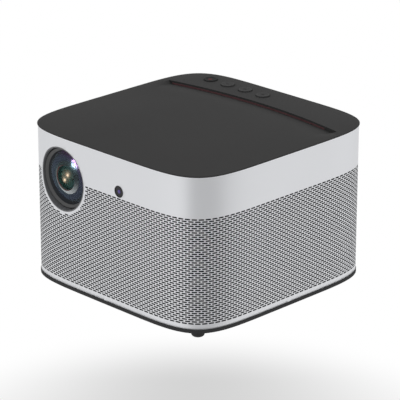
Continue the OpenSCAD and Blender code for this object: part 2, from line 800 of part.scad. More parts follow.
module power_board() {
    color([0.1, 0.32, 0.18]) box([-20, -40, board_z], [40, 14, board_top_z]);
    color([0.2, 0.2, 0.3]) for (x = [-10, 2, 14]) rod_z(x, 4, 5, board_top_z, board_top_z + 18);
    color([0.25, 0.25, 0.25]) {
        box([-14, -32, board_top_z], [2, -16, board_top_z + 12]);
        box([10, -34, board_top_z], [30, -18, board_top_z + 8]);
    }
    color([0.75, 0.76, 0.78]) box([26, -8, board_top_z], [29, 12, board_top_z + 22]);
}

module port_panel() {
    gap = 0.25;
    color([0.12, 0.12, 0.125]) difference() {
        intersection() {
            port_window(-gap, port_face_y - port_plate - 3, cover_half);
            slab(shell_half, 10, 60, inset = 0.3);
        }
        difference() {
            port_window(-1.8, port_face_y, cover_half + nudge);
            box([-70, 70, 10], [70, port_face_y, 60]);
        }
        port_window(-1.8, port_face_y - 6, port_face_y - port_plate);
        rod_y(inlet_x, board_top_z + 6.5, 4.4, 80, cover_half + 1);
        rod_y(headphone_x, board_top_z + 5, 3.6, 80, cover_half + 1);
        box([optical_x - 4.9 - gap, 80, board_top_z + 1 - gap],
            [optical_x + 4.9 + gap, cover_half + 1, board_top_z + 10.5 + gap]);
        box([lan_x - 8 - gap, 80, board_top_z - 0.1],
            [lan_x + 8 + gap, cover_half + 1, board_top_z + 13.5 + gap]);
        for (x = hdmi_x) box([x - 7.6 - gap, 80, board_top_z + 0.8 - gap],
            [x + 7.6 + gap, cover_half + 1, board_top_z + 7 + gap]);
        box([usb_x - 6.8 - gap, 80, board_top_z],
            [usb_x + 6.8 + gap, cover_half + 1, board_top_z + 16 + gap]);
    }
}

module power_inlet() {
    z = board_top_z + 6.5;
    y1 = port_face_y;
    color([0.1, 0.1, 0.1]) difference() {
        union() {
            box([inlet_x - 4.5, y1 - 14, board_top_z], [inlet_x + 4.5, y1 - 3, board_top_z + 11]);
            rod_y(inlet_x, z, 4.1, y1 - 4, y1);
        }
        rod_y(inlet_x, z, 3.1, y1 - 10.5, y1 + nudge);
    }
    color([0.8, 0.8, 0.8]) rod_y(inlet_x, z, 1.05, y1 - 10.6, y1 - 0.6);
}

module hdmi_sockets() {
    y1 = port_face_y;
    z0 = board_top_z + 0.8;
    for (x = hdmi_x) {
        color([0.75, 0.75, 0.76]) difference() {
            union() {
                box([x - 7.6, y1 - 12, z0], [x + 7.6, y1, z0 + 6.2]);
                for (sx = [-5, 5]) box([x + sx - 0.6, y1 - 9, board_top_z], [x + sx + 0.6, y1 - 6, z0]);
            }
            translate([x, y1 - 9, 0]) rotate([-90, 0, 0]) linear_extrude(12)
                polygon([[-7.1, -z0 - 5.6], [7.1, -z0 - 5.6], [7.1, -z0 - 2.4], [5.2, -z0 - 0.7],
                    [-5.2, -z0 - 0.7], [-7.1, -z0 - 2.4]]);
        }
        color([0.1, 0.1, 0.1]) box([x - 5.6, y1 - 9, z0 + 3.3], [x + 5.6, y1 - 1, z0 + 4.3]);
    }
}

module usb_sockets() {
    y1 = port_face_y;
    x = usb_x;
    z0 = board_top_z;
    color([0.75, 0.75, 0.76]) difference() {
        box([x - 6.8, y1 - 17, z0], [x + 6.8, y1, z0 + 15.8]);
        for (dz = [1.4, 9.2]) box([x - 6.1, y1 - 13, z0 + dz], [x + 6.1, y1 + nudge, z0 + dz + 5.1]);
    }
    color([0.15, 0.3, 0.6]) for (dz = [1.4, 9.2])
        box([x - 5.6, y1 - 13, z0 + dz + 2.6], [x + 5.6, y1 - 1, z0 + dz + 4.4]);
}

module lan_socket() {
    y1 = port_face_y;
    z0 = board_top_z;
    color([0.72, 0.72, 0.73]) difference() {
        box([lan_x - 8, y1 - 21, z0], [lan_x + 8, y1, z0 + 13.4]);
        box([lan_x - 5.9, y1 - 13, z0 + 2.8], [lan_x + 5.9, y1 + nudge, z0 + 10.8]);
        box([lan_x - 3.1, y1 - 9, z0 + 1.2], [lan_x + 3.1, y1 + nudge, z0 + 4]);
    }
}

module headphone_socket() {
    y1 = port_face_y;
    z = board_top_z + 5;
    color([0.1, 0.1, 0.1]) difference() {
        union() {
            box([headphone_x - 3.5, y1 - 14, board_top_z], [headphone_x + 3.5, y1 - 3, board_top_z + 8.5]);
            rod_y(headphone_x, z, 3.3, y1 - 4, y1);
        }
        rod_y(headphone_x, z, 1.8, y1 - 13, y1 + nudge);
    }
}

module optical_socket() {
    y1 = port_face_y;
    x = optical_x;
    z0 = board_top_z;
    color([0.12, 0.12, 0.12]) difference() {
        box([x - 4.9, y1 - 12, z0 + 1], [x + 4.9, y1, z0 + 10.5]);
        box([x - 3.4, y1 - 0.6, z0 + 2.4], [x + 3.4, y1 + nudge, z0 + 9.2]);
    }
    color([0.2, 0.2, 0.2]) for (sx = [-3, 3])
        box([x + sx - 0.6, y1 - 10, z0], [x + sx + 0.6, y1 - 8, z0 + 1]);
}

// ---- sound ----

module speaker_boxes() {
    color([0.12, 0.12, 0.125]) for (side = [-1, 1]) translate([side * speaker_x, 0, 0]) difference() {
        box(box_low, box_high);
        box(box_low + [box_wall, box_wall, box_wall], box_high - [box_wall, box_wall, box_wall]);
        rod_y(0, speaker_z, driver_r - 1.5, box_low[1] - nudge, box_low[1] + box_wall + nudge);
    }
}

module speaker_drivers() {
    y0 = box_low[1];
    color([0.35, 0.35, 0.36]) for (side = [-1, 1]) {
        turned_y(side * speaker_x, speaker_z, [[cone_r + 2.4, y0 - 1.2], [driver_r, y0 - 1.2], [driver_r, y0],
            [driver_r - 2, y0], [driver_r - 2, y0 + 5], [15, y0 + 14], [15, y0 + 26], [0, y0 + 26],
            [0, y0 + 14], [13.6, y0 + 14], [cone_r + 2.4, y0 + 4.6]]);
    }
}

module speaker_cone(side) {
    y = box_low[1] - 1.4;
    turned_y(side * speaker_x, speaker_z, [[0, y + 2.2], [3, y + 2.6], [5.6, y + 4.2], [6.2, y + 4.6],
        [cone_r, y], [cone_r + 0.8, y], [cone_r + 0.8, y + 0.6], [7, y + 5.6], [7, y + 9], [6.4, y + 9],
        [6.4, y + 5.4], [5.2, y + 4.9], [3, y + 3.3], [0, y + 2.8]]);
}

module left_cone() {
    color([0.2, 0.2, 0.2]) speaker_cone(-1);
}

module right_cone() {
    color([0.2, 0.2, 0.2]) speaker_cone(1);
}

module cone_surrounds() {
    y = box_low[1] - 1.2;
    color([0.08, 0.08, 0.08]) for (side = [-1, 1])
        turned_y(side * speaker_x, speaker_z, [[cone_r + 1.3, y], [cone_r + 1.6, y - 1],
            [cone_r + 2.4, y - 1.6], [cone_r + 3.2, y - 1], [cone_r + 3.5, y - 0.6],
            [driver_r - 0.6, y - 0.6], [driver_r - 0.6, y],
            [cone_r + 3.2, y], [cone_r + 2.9, y - 0.5], [cone_r + 2.4, y - 1], [cone_r + 1.9, y - 0.5],
            [cone_r + 1.6, y]]);
}

// ---- front sensor, antennas, key cable ----

module front_board() {
    color([0.1, 0.3, 0.16]) box([2, -86, 72], [30, -84.8, 116]);
    color([0.08, 0.06, 0.07]) {
        box([6, -89.4, 76], [12, -86, 83]);
        rod_y(9, 80.5, 2.4, -91, -89.4);
    }
}

module focus_camera() {
    color([0.1, 0.1, 0.11]) {
        box([sensor_x - 4.4, -91, sensor_z - 4.4], [sensor_x + 4.4, -86, sensor_z + 4.4]);
        difference() {
            rod_y(sensor_x, sensor_z, 3.6, -97, -91);
            rod_y(sensor_x, sensor_z, 2.6, -98, -95);
        }
    }
    color([0.35, 0.3, 0.6, 0.8]) turned_y(sensor_x, sensor_z, concat(
        lens_face(5, -96.6, 0, 2.6, 5), [[2.6, -95], [0, -95]]));
}

module sensor_window() {
    r = sensor_r - 0.55;
    color([0.08, 0.08, 0.1, 0.7]) {
        turned_y(sensor_x, sensor_z, [[0, -99.7], [r, -99.7], [r, -98.7], [0, -98.7]]);
        turned_y(sensor_x, sensor_z, [[r, -99.95], [sensor_r - 0.1, -99.95], [sensor_r - 0.1, -98.1],
            [sensor_r + 1.3, -98.1], [sensor_r + 1.3, -97.3], [r - 0.55, -97.3], [r - 0.55, -98.7],
            [r, -98.7]]);
    }
}

module wifi_antennas() {
    color([0.15, 0.4, 0.3]) {
        box([36, -91, 108], [68, -90.2, 120]);
        box([-64, 90, 104], [-32, 90.8, 116]);
    }
    color([0.75, 0.7, 0.4]) {
        rod_y(64, 110, 1, -90.2, -88.6);
        rod_y(-60, 106, 1, 88.4, 90);
    }
}

module key_cable() {
    x0 = key_x(3) + 7.2;
    y0 = key_y + 3;
    y1 = key_y + 5.5;
    z1 = key_board_top_z - key_board_thick - 2;
    color([0.85, 0.86, 0.88]) translate([x0, 0, 0]) rotate([90, 0, 90]) linear_extrude(3.6)
        polygon([[y0, z1], [y0, z1 - 3], [y1, z1 - 6], [y1, 60], [y0 - 6, 50], [y0 - 6, board_top_z],
            [y0 - 5.7, board_top_z], [y0 - 5.7, 49.8], [y1 + 0.3, 59.8], [y1 + 0.3, z1 - 6.2],
            [y0 + 0.3, z1 - 3.2], [y0 + 0.3, z1]]);
}

outer_shell();
dust_screen();
top_cover();
light_bar();
light_bar_board();
key_board();
power_key();
minus_key();
play_key();
plus_key();
base_plate();
rubber_feet();
tripod_insert();
base_screws();
chassis_frame();
lens_bezel();
lens_barrel();
front_lens();
second_lens();
rear_lens();
focus_cell();
focus_ring();
focus_motor();
focus_pinion();
engine_housing();
engine_cover();
prism();
condenser_lenses();
dichroic_mirrors();
red_led_module();
green_led_module();
blue_led_module();
image_chip_board();
image_chip_heat_sink();
heat_pipes();
left_heat_sink();
right_heat_sink();
left_fan_housing();
left_fan_impeller();
right_fan_housing();
right_fan_impeller();
main_board();
power_board();
port_panel();
power_inlet();
hdmi_sockets();
usb_sockets();
lan_socket();
headphone_socket();
optical_socket();
speaker_boxes();
speaker_drivers();
left_cone();
right_cone();
cone_surrounds();
front_board();
focus_camera();
sensor_window();
wifi_antennas();
key_cable();
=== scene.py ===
import math

import bpy
import numpy as np
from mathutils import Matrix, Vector
from mathutils.geometry import delaunay_2d_cdt


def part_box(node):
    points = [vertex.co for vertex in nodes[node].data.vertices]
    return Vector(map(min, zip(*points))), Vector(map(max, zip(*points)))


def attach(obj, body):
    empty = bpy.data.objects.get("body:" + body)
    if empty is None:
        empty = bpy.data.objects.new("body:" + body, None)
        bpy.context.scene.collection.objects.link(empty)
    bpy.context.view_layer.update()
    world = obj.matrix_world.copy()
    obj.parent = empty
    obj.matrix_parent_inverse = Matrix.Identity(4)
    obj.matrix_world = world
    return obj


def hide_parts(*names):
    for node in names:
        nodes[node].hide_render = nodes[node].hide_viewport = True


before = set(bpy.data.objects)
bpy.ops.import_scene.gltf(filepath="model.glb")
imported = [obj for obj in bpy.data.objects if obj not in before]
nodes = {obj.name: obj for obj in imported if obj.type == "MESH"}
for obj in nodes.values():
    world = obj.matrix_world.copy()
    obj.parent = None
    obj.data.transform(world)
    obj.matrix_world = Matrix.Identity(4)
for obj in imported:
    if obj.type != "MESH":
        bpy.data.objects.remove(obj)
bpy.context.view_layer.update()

MM = 0.001

# ---- sizes of the parts, mostly read from model.glb ----

PLAN_POWER = 5.77                     # superellipse exponent of the plan outline
shell_low, shell_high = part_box("outer_shell")
cover_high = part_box("top_cover")[1]
SHELL_HALF = shell_high.x
COVER_HALF = cover_high.x
COVER_TOP = cover_high.z
SHELL_TOP = shell_high.z
SHELL_BOTTOM = shell_low.z


def centre(node):
    low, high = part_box(node)
    return (low + high) / 2


LENS = centre("front_lens")
SENSOR = centre("sensor_window")

# ---- camera and stage ----

VIEW_AZIMUTH = math.radians(45.191)
VIEW_ELEVATION = math.radians(20.619)
VIEW_DISTANCE = 1822.5 * MM
VIEW_TARGET = Vector((0, 0, 68.45 * MM))
LENS_MM = 207.25
SHIFT_X = 0.0039


def make_camera():
    back = Vector((
        math.sin(VIEW_AZIMUTH) * math.cos(VIEW_ELEVATION),
        -math.cos(VIEW_AZIMUTH) * math.cos(VIEW_ELEVATION),
        math.sin(VIEW_ELEVATION),
    ))
    data = bpy.data.cameras.new("camera")
    data.sensor_width = 36
    data.lens = LENS_MM
    data.shift_x = SHIFT_X
    data.clip_start = 0.05
    data.clip_end = 50
    camera = bpy.data.objects.new("camera", data)
    camera.location = VIEW_TARGET + back * VIEW_DISTANCE
    camera.rotation_mode = "QUATERNION"
    camera.rotation_quaternion = (-back).to_track_quat("-Z", "Y")
    bpy.context.scene.collection.objects.link(camera)
    bpy.context.scene.camera = camera


make_camera()

# ---- node helpers ----


class Nodes:
    """A short way to add and join shader nodes in one tree."""

    def __init__(self, tree):
        self.tree = tree
        tree.nodes.clear()

    def add(self, kind, links=None, **settings):
        node = self.tree.nodes.new("ShaderNode" + kind)
        for name, value in settings.items():
            setattr(node, name, value)
        for name, value in (links or {}).items():
            self.set(node, name, value)
        return node

    def set(self, node, name, value):
        socket = node.inputs[name]
        if isinstance(value, bpy.types.NodeSocket):
            self.tree.links.new(value, socket)
        else:
            socket.default_value = value

    def math(self, operation, a, b=0.0, clamp=False):
        node = self.add("Math", {0: a, 1: b}, operation=operation, use_clamp=clamp)
        return node.outputs[0]

    def ramp(self, value, low, high, to_low=0.0, to_high=1.0, smooth=False):
        node = self.add("MapRange", {"Value": value, "From Min": low, "From Max": high,
                                     "To Min": to_low, "To Max": to_high})
        if smooth:
            node.interpolation_type = "SMOOTHSTEP"
        return node.outputs["Result"]

    def mix(self, factor, a, b):
        node = self.add("Mix", data_type="RGBA")
        self.set(node, "Factor", factor)
        colours = [s for s in node.inputs if s.type == "RGBA"]
        for socket, value in zip(colours, (a, b)):
            if isinstance(value, bpy.types.NodeSocket):
                self.tree.links.new(value, socket)
            else:
                socket.default_value = value
        return [s for s in node.outputs if s.type == "RGBA"][0]

    def along(self, x, y, azimuth):
        """Distance of a place in plan along a heading, given in degrees."""
        c, s = math.cos(math.radians(azimuth)), math.sin(math.radians(azimuth))
        return self.math("ADD", self.math("MULTIPLY", x, c), self.math("MULTIPLY", y, s))

    def noise(self, vector, size, detail=2.0, rough=0.5, stretch=(1, 1, 1)):
        """Noise whose features are about `size` metres across."""
        scaled = self.add("Mapping", {"Vector": vector, "Scale": stretch})
        node = self.add("TexNoise", {"Vector": scaled.outputs[0], "Scale": 0.6 / size,
                                     "Detail": detail, "Roughness": rough})
        return node.outputs["Fac"]


def rgba(colour):
    return (*colour, 1.0)


def tinted(colour, factor):
    return rgba([min(1.0, c * factor) for c in colour])


def new_material(name):
    """An empty material, its nodes and the place on the object that they start from."""
    material = bpy.data.materials.new(name)
    material.use_nodes = True
    n = Nodes(material.node_tree)
    return material, n, n.add("TexCoord").outputs["Object"]


def surface(name, colour, rough, metallic=0.0, tint=0.08, rough_spread=0.06, grain=0.35 * MM,
            bump=0.0, patch=25 * MM, stretch=(1, 1, 1), darker=None, **sockets):
    """A finish with a fine grain in its height and slow patches in its colour and roughness."""
    material, n, place = new_material(name)
    slow = n.noise(place, patch, detail=3)
    fine = n.noise(place, grain, detail=3, rough=0.6, stretch=stretch)
    shade = n.math("ADD", n.math("MULTIPLY", slow, 0.6), n.math("MULTIPLY", fine, 0.4))
    base = n.mix(n.ramp(shade, 0.3, 0.7), tinted(colour, 1 - tint), tinted(colour, 1 + tint))
    # painted shade: where given, the colour is darkened towards black
    if darker:
        base = n.mix(darker(n, place), base, tinted(colour, 0))
    shader = n.add("BsdfPrincipled", {"Base Color": base, "Metallic": metallic})
    n.set(shader, "Roughness", n.ramp(fine, 0.3, 0.7, rough - rough_spread, rough + rough_spread))
    for socket, value in sockets.items():
        shader.inputs[socket.replace("_", " ")].default_value = value
    if bump:
        relief = n.add("Bump", {"Height": fine, "Strength": 0.35, "Distance": bump})
        n.set(shader, "Normal", relief.outputs[0])
    n.set(n.add("OutputMaterial"), "Surface", shader.outputs[0])
    return material


def plastic(name, colour, rough=0.5, grain=0.3 * MM, bump=0.02 * MM, **more):
    return surface(name, colour, rough, grain=grain, bump=bump, **more)


def metal(name, colour, rough=0.35, stretch=(1, 1, 1), bump=0.01 * MM, **more):
    return surface(name, colour, rough, metallic=1.0, stretch=stretch, bump=bump, **more)


# ---- mesh helpers ----


def add_object(name, verts, faces, material, body="housing", sharp=40):
    """A mesh object that rides on a body, smooth but for edges sharper than `sharp` degrees."""
    mesh = bpy.data.meshes.new(name)
    mesh.from_pydata([tuple(v) for v in verts], [], faces)
    mesh.validate()
    mesh.shade_smooth()
    mesh.set_sharp_from_angle(angle=math.radians(sharp))
    mesh.materials.append(material)
    piece = bpy.data.objects.new(name, mesh)
    bpy.context.scene.collection.objects.link(piece)
    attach(piece, body)
    return piece


def outline_at(half, angle):
    """Points and outward normals of the plan outline at these angles about its centre."""
    c, s = np.cos(angle), np.sin(angle)
    r = half / (np.abs(c) ** PLAN_POWER + np.abs(s) ** PLAN_POWER) ** (1 / PLAN_POWER)
    x, y = r * c, r * s
    nx = np.sign(x) * np.abs(x / half) ** (PLAN_POWER - 1)
    ny = np.sign(y) * np.abs(y / half) ** (PLAN_POWER - 1)
    length = np.hypot(nx, ny)
    normal = np.stack([nx / length, ny / length], axis=-1)
    return np.stack([x, y], axis=-1), normal


def outline(half, count, inset):
    """Points of the plan outline, counter-clockwise from the front's middle, moved in by inset."""
    points, normal = outline_at(half, np.linspace(-math.pi / 2, 1.5 * math.pi, count, endpoint=False))
    return points - inset * normal


def circle(x, y, r, count=48):
    angle = np.linspace(0, 2 * math.pi, count, endpoint=False)
    return np.stack([x + r * np.cos(angle), y + r * np.sin(angle)], axis=-1)


MERGE = 1e-7                          # points nearer than this become one in a triangulation
FLAT = 2e-5                           # least height of a triangle as a share of its longest side


def triangulate(points, edges, keep):
    """Triangles over the points that hold these edges and whose centre passes keep."""
    flat = [Vector((float(p[0]), float(p[1]))) for p in points]
    _, _, faces, origin, _, _ = delaunay_2d_cdt(flat, edges, [], 0, MERGE)
    first = np.array([o[0] if o else -1 for o in origin])
    tris = first[np.array(faces)]
    tris = tris[(tris >= 0).all(axis=1)]
    tris = tris[keep(points[tris].mean(axis=1))]
    a, b, c = (points[tris[:, i]] for i in range(3))
    turn = (b[:, 0] - a[:, 0]) * (c[:, 1] - a[:, 1]) - (b[:, 1] - a[:, 1]) * (c[:, 0] - a[:, 0])
    longest = np.max([((p - q) ** 2).sum(axis=1) for p, q in ring_pairs([a, b, c])], axis=0)
    solid = np.abs(turn) > FLAT * longest
    tris, turn = tris[solid], turn[solid]
    tris[turn < 0] = tris[turn < 0][:, ::-1]
    return tris


def ring_pairs(ring):
    """Each item of a closed ring, with the next one."""
    return list(zip(ring, ring[1:] + ring[:1]))


def without_repeats(face):
    return tuple(v for k, v in enumerate(face) if v not in face[:k])


def inside_loop(loop, points):
    """True for each point that lies inside the closed loop."""
    x, y = points[:, 0][:, None], points[:, 1][:, None]
    x0, y0 = loop[:, 0], loop[:, 1]
    x1, y1 = np.roll(x0, -1), np.roll(y0, -1)
    crosses = (y0 > y) != (y1 > y)
    with np.errstate(divide="ignore", invalid="ignore"):
        at = x0 + (y - y0) * (x1 - x0) / (y1 - y0)
    return (crosses & (x < at)).sum(axis=1) % 2 == 1


def open_edges(faces):
    """Directed edges of the faces that no other face shares."""
    seen = dict.fromkeys(edge for face in faces for edge in ring_pairs(face))
    return [(a, b) for a, b in seen if (b, a) not in seen]


# ---- perforated shell ----

SLOT_ROWS = 50
SLOTS_ROUND = 140
SLOT_LENGTH = 4.3 * MM
SLOT_HEIGHT = 1.15 * MM
SHORTEST_SLOT = 1.5 * MM              # a slot that an opening cuts shorter is left out
LOWEST_ROW = 16.4 * MM
HIGHEST_ROW = 99.85 * MM
SKIN = 0.45 * MM                      # sheet thickness that shows in the slots
EDGE_BREAK = 0.2 * MM                 # rounding of the sheet's cut edges
HIGHLIGHT_HEIGHT = 0.8 * MM                   # height of the painted highlight, a brighter line along the sheet's upper edge
BAND_ROWS = 8                         # rows of plain cells above the slots
SHELL_SECTORS = 4                     # pieces that the shell is parted into
# Openings: lens and sensor in front, the ports' window behind. A margin is plain metal all round.
OPENING_R = 25.9 * MM
LENS_MARGIN = 1.9 * MM
SENSOR_R = 4.7 * MM
SENSOR_MARGIN = 0.9 * MM
WINDOW_HALF = 62 * MM
WINDOW_LOW = 19.5 * MM
WINDOW_HIGH = 42.5 * MM
WINDOW_CORNER = 3 * MM
WINDOW_MARGIN = 2.2 * MM
CUT_REACH = 2.6 * MM                  # cells this near to an opening are cut to it
CUT_CLEAR = 1.0 * MM                  # their inner corners count only when farther than this from it
FAR = 1.0                             # distance of an opening that is on the other side
OUTLINE_STEPS = 14400                 # in the table that turns distance along the outline into an angle
ON_SLOT = 0.98                        # a place within this share of a slot end's radius is in the slot
SLOT_TURNS = [math.radians(a) for a in (-90, -45, 0, 45, 90)]
# Faces of one cell: 0-5 are its corners and edge middles from the lower left, 6-15 its slot's
# outline from the lower right, both counter-clockwise.
CELL_FACES = [
    (0, 1, 15), (1, 6, 15), (1, 2, 6),
    (2, 7, 6), (2, 8, 7), (2, 3, 8), (3, 9, 8), (3, 10, 9),
    (3, 4, 10), (4, 11, 10), (4, 5, 11),
    (5, 12, 11), (5, 13, 12), (5, 0, 13), (0, 14, 13), (0, 15, 14),
]
PLAIN_FACES = [(0, 1, 4, 5), (1, 2, 3, 4)]


def slot_outline(left, right, height):
    """Ten points round a slot from its left to its right end."""
    r = SLOT_HEIGHT / 2
    ends = [(right - r + r * math.cos(a), height + r * math.sin(a)) for a in SLOT_TURNS]
    return ends + [(left + r - r * math.cos(a), height - r * math.sin(a)) for a in SLOT_TURNS]


class Shell:
    """The shell's sheet, laid out flat as distance along the outline against height.

    A cell holds one slot or none. It is a pitch wide and a row high, and the cells of each row stand
    half a pitch on from those of the row below.
    """

    def __init__(self):
        self.angles = np.linspace(-math.pi / 2, 1.5 * math.pi, OUTLINE_STEPS + 1)
        points = outline_at(SHELL_HALF, self.angles)[0]
        steps = np.hypot(*np.diff(points, axis=0).T)
        self.lengths = np.concatenate([[0], np.cumsum(steps)])
        self.x_table = points[:, 0]
        self.around = self.lengths[-1]
        self.columns = 2 * SLOTS_ROUND
        self.half_pitch = self.around / self.columns
        self.levels = self.make_levels()
        along, height = np.meshgrid(np.arange(self.columns) * self.half_pitch, self.levels)
        self.flat = list(zip(along.ravel(), height.ravel()))
        self.in_slot = [False] * len(self.flat)
        self.gap = self.gap_to_opening(along, height)[1].ravel()
        self.across = {}              # points on an opening's edge, with its side along Y
        self.cut_cells = {}           # cells at an opening, with their slot or None
        self.faces, self.sectors = [], []

    def make_levels(self):
        step = (HIGHEST_ROW - LOWEST_ROW) / (SLOT_ROWS - 1)
        rows = LOWEST_ROW + step * (np.arange(SLOT_ROWS + 1) - 0.5)
        low = [SHELL_BOTTOM, SHELL_BOTTOM + EDGE_BREAK]
        band = np.linspace(rows[-1], SHELL_TOP - HIGHLIGHT_HEIGHT, BAND_ROWS + 1)[1:]
        self.first_slot_row = len(low)
        return np.concatenate([low, rows, band, [SHELL_TOP - EDGE_BREAK, SHELL_TOP]])

    def along_front(self, x):
        """Distance along the outline, from the front's middle, of a point on the front at x."""
        quarter = len(self.lengths) // 4
        xs = np.concatenate([self.x_table[-quarter:-1], self.x_table[:quarter]])
        along = np.concatenate([self.lengths[-quarter:-1], self.lengths[:quarter] + self.around])
        return np.mod(np.interp(x, xs, along), self.around)

    def along_back(self, x):
        """The same for a point on the back at x."""
        quarter = len(self.lengths) // 4
        xs = self.x_table[quarter:3 * quarter][::-1]
        return np.interp(x, xs, self.lengths[quarter:3 * quarter][::-1])

    def gap_to_opening(self, along, height):
        """Distance to the nearest opening's edge beyond that opening's plain margin, and to the edge."""
        x = np.interp(np.mod(along, self.around), self.lengths, self.x_table)
        front = np.abs(np.mod(along + self.around / 4, self.around) - self.around / 4) < self.around / 4
        lens = np.hypot(x - LENS.x, height - LENS.z) - OPENING_R
        sensor = np.hypot(x - SENSOR.x, height - SENSOR.z) - SENSOR_R
        middle = (WINDOW_LOW + WINDOW_HIGH) / 2
        qx = np.abs(x) - (WINDOW_HALF - WINDOW_CORNER)
        qz = np.abs(height - middle) - ((WINDOW_HIGH - WINDOW_LOW) / 2 - WINDOW_CORNER)
        window = np.hypot(np.maximum(qx, 0), np.maximum(qz, 0)) - WINDOW_CORNER
        window += np.minimum(np.maximum(qx, qz), 0)
        lens, sensor = np.where(front, lens, FAR), np.where(front, sensor, FAR)
        window = np.where(front, FAR, window)
        clear = np.minimum(np.minimum(lens - LENS_MARGIN, sensor - SENSOR_MARGIN), window - WINDOW_MARGIN)
        return clear, np.minimum(np.minimum(lens, sensor), window)

    def opening_loops(self, grow):
        """Outlines of the three openings, grown by grow, each with its side along Y."""
        loops = []
        for at, r, count in ((LENS, OPENING_R, 144), (SENSOR, SENSOR_R, 48)):
            ring = circle(at.x, at.z, r + grow, count)
            loops.append((np.stack([self.along_front(ring[:, 0]), ring[:, 1]], axis=-1), -1))
        r = WINDOW_CORNER + grow
        x, low, high = WINDOW_HALF - WINDOW_CORNER, WINDOW_LOW + WINDOW_CORNER, WINDOW_HIGH - WINDOW_CORNER
        ring = []
        for cx, cz, start in ((x, high, 0), (-x, high, 90), (-x, low, 180), (x, low, 270)):
            for a in np.radians(np.linspace(start, start + 90, 9)):
                ring.append((cx + r * math.cos(a), cz + r * math.sin(a)))
        ring = np.array(ring)[::-1]
        loops.append((np.stack([self.along_back(ring[:, 0]), ring[:, 1]], axis=-1), 1))
        return loops

    def clipped_slot(self, middle, height):
        """Left, right and height of the part of a slot that clears the margins, or None."""
        samples = np.linspace(-SLOT_LENGTH / 2, SLOT_LENGTH / 2, 18)
        samples = samples[self.gap_to_opening(middle + samples, height)[0] > 0]
        if len(samples) == 0 or samples[-1] - samples[0] < SHORTEST_SLOT:
            return None
        return middle + samples[0], middle + samples[-1], height

    def corners(self, row, column):
        left, right = (column - 1) % self.columns, (column + 1) % self.columns
        low, high = row * self.columns, (row + 1) * self.columns
        return [low + left, low + column, low + right, high + right, high + column, high + left]

    def add_points(self, points, in_slot=False):
        start = len(self.flat)
        self.flat += [tuple(p) for p in points]
        self.in_slot += [in_slot] * len(points)
        return list(range(start, len(self.flat)))

    def add_faces(self, column, faces):
        self.faces += [tuple(f) for f in faces]
        self.sectors += [column * SHELL_SECTORS // self.columns] * len(faces)

    def lay_cells(self):
        """Faces of all cells but those at an opening, which are noted."""
        for row in range(len(self.levels) - 1):
            has_slots = self.first_slot_row <= row < self.first_slot_row + SLOT_ROWS
            height = (self.levels[row] + self.levels[row + 1]) / 2
            for column in range((row + 1) % 2, self.columns, 2):
                ids = self.corners(row, column)
                slot = self.clipped_slot(column * self.half_pitch, height) if has_slots else None
                if min(self.gap[i] for i in ids) < CUT_REACH:
                    self.cut_cells[(row, column)] = slot
                elif slot:
                    ids += self.add_points(slot_outline(*slot), in_slot=True)
                    self.add_faces(column, [[ids[i] for i in face] for face in CELL_FACES])
                else:
                    self.add_faces(column, [[ids[i] for i in face] for face in PLAIN_FACES])

    def lay_cut_cells(self):
        """One triangulation of the cells at openings, with their border, slots and openings as edges."""
        border = dict.fromkeys(e for cell in self.cut_cells for e in ring_pairs(self.corners(*cell)))
        edges = [(a, b) for a, b in border if (b, a) not in border]
        ids = dict.fromkeys(sorted(i for e in edges for i in e))
        for cell in self.cut_cells:
            ids.update(dict.fromkeys(i for i in self.corners(*cell) if self.gap[i] > CUT_CLEAR))
        ids = list(ids)
        slots = [slot for slot in self.cut_cells.values() if slot]
        rings = [self.add_points(slot_outline(*slot), in_slot=True) for slot in slots]
        for loop, side in self.opening_loops(0):
            rings.append(self.add_points(loop))
            self.across.update(dict.fromkeys(rings[-1], side))
        rings += [self.add_points(loop) for loop, _ in self.opening_loops(EDGE_BREAK)]
        for ring in rings:
            ids += ring
            edges += ring_pairs(ring)
        local = {i: k for k, i in enumerate(ids)}
        points = np.array([self.flat[i] for i in ids])
        for tri in triangulate(points, [(local[a], local[b]) for a, b in edges], self.is_cut_metal):
            column = int(round(points[tri, 0].mean() / self.half_pitch)) % self.columns
            self.add_faces(column, [[ids[i] for i in tri]])

    def is_cut_metal(self, places):
        """True for each place that is in a cell at an opening, but in no hole."""
        rows = np.searchsorted(self.levels, places[:, 1]) - 1
        odd = (rows + 1) % 2
        columns = 2 * np.round((places[:, 0] / self.half_pitch - odd) / 2) + odd
        columns = np.mod(columns, self.columns).astype(int)
        outside = self.gap_to_opening(places[:, 0], places[:, 1])[1] > 0
        result = []
        for cell, ok, (along, height) in zip(zip(rows, columns), outside, places):
            slot = self.cut_cells.get(cell)
            if slot:
                left, right, middle = slot
                r = SLOT_HEIGHT / 2
                end = min(max(along, left + r), right - r)
                ok = ok and math.hypot(along - end, height - middle) > ON_SLOT * r
            result.append(ok and cell in self.cut_cells)
        return np.array(result, bool)

    def sides(self):
        """The points of the sheet's outer and inner side in space."""
        along, height = np.array(self.flat).T
        angle = np.interp(np.mod(along, self.around), self.lengths, self.angles)
        base, normal = outline_at(SHELL_HALF, angle)
        at_edge = np.isclose(height, SHELL_TOP, atol=1e-6) | np.isclose(height, SHELL_BOTTOM, atol=1e-6)
        outer = base - np.where(at_edge, EDGE_BREAK, 0)[:, None] * normal
        inner = base - SKIN * normal
        for i, side in self.across.items():
            outer[i] = base[i] - [0, side * EDGE_BREAK]
            inner[i] = base[i] - [0, side * SKIN / abs(normal[i][1])]
        return np.column_stack([outer, height]), np.column_stack([inner, height])


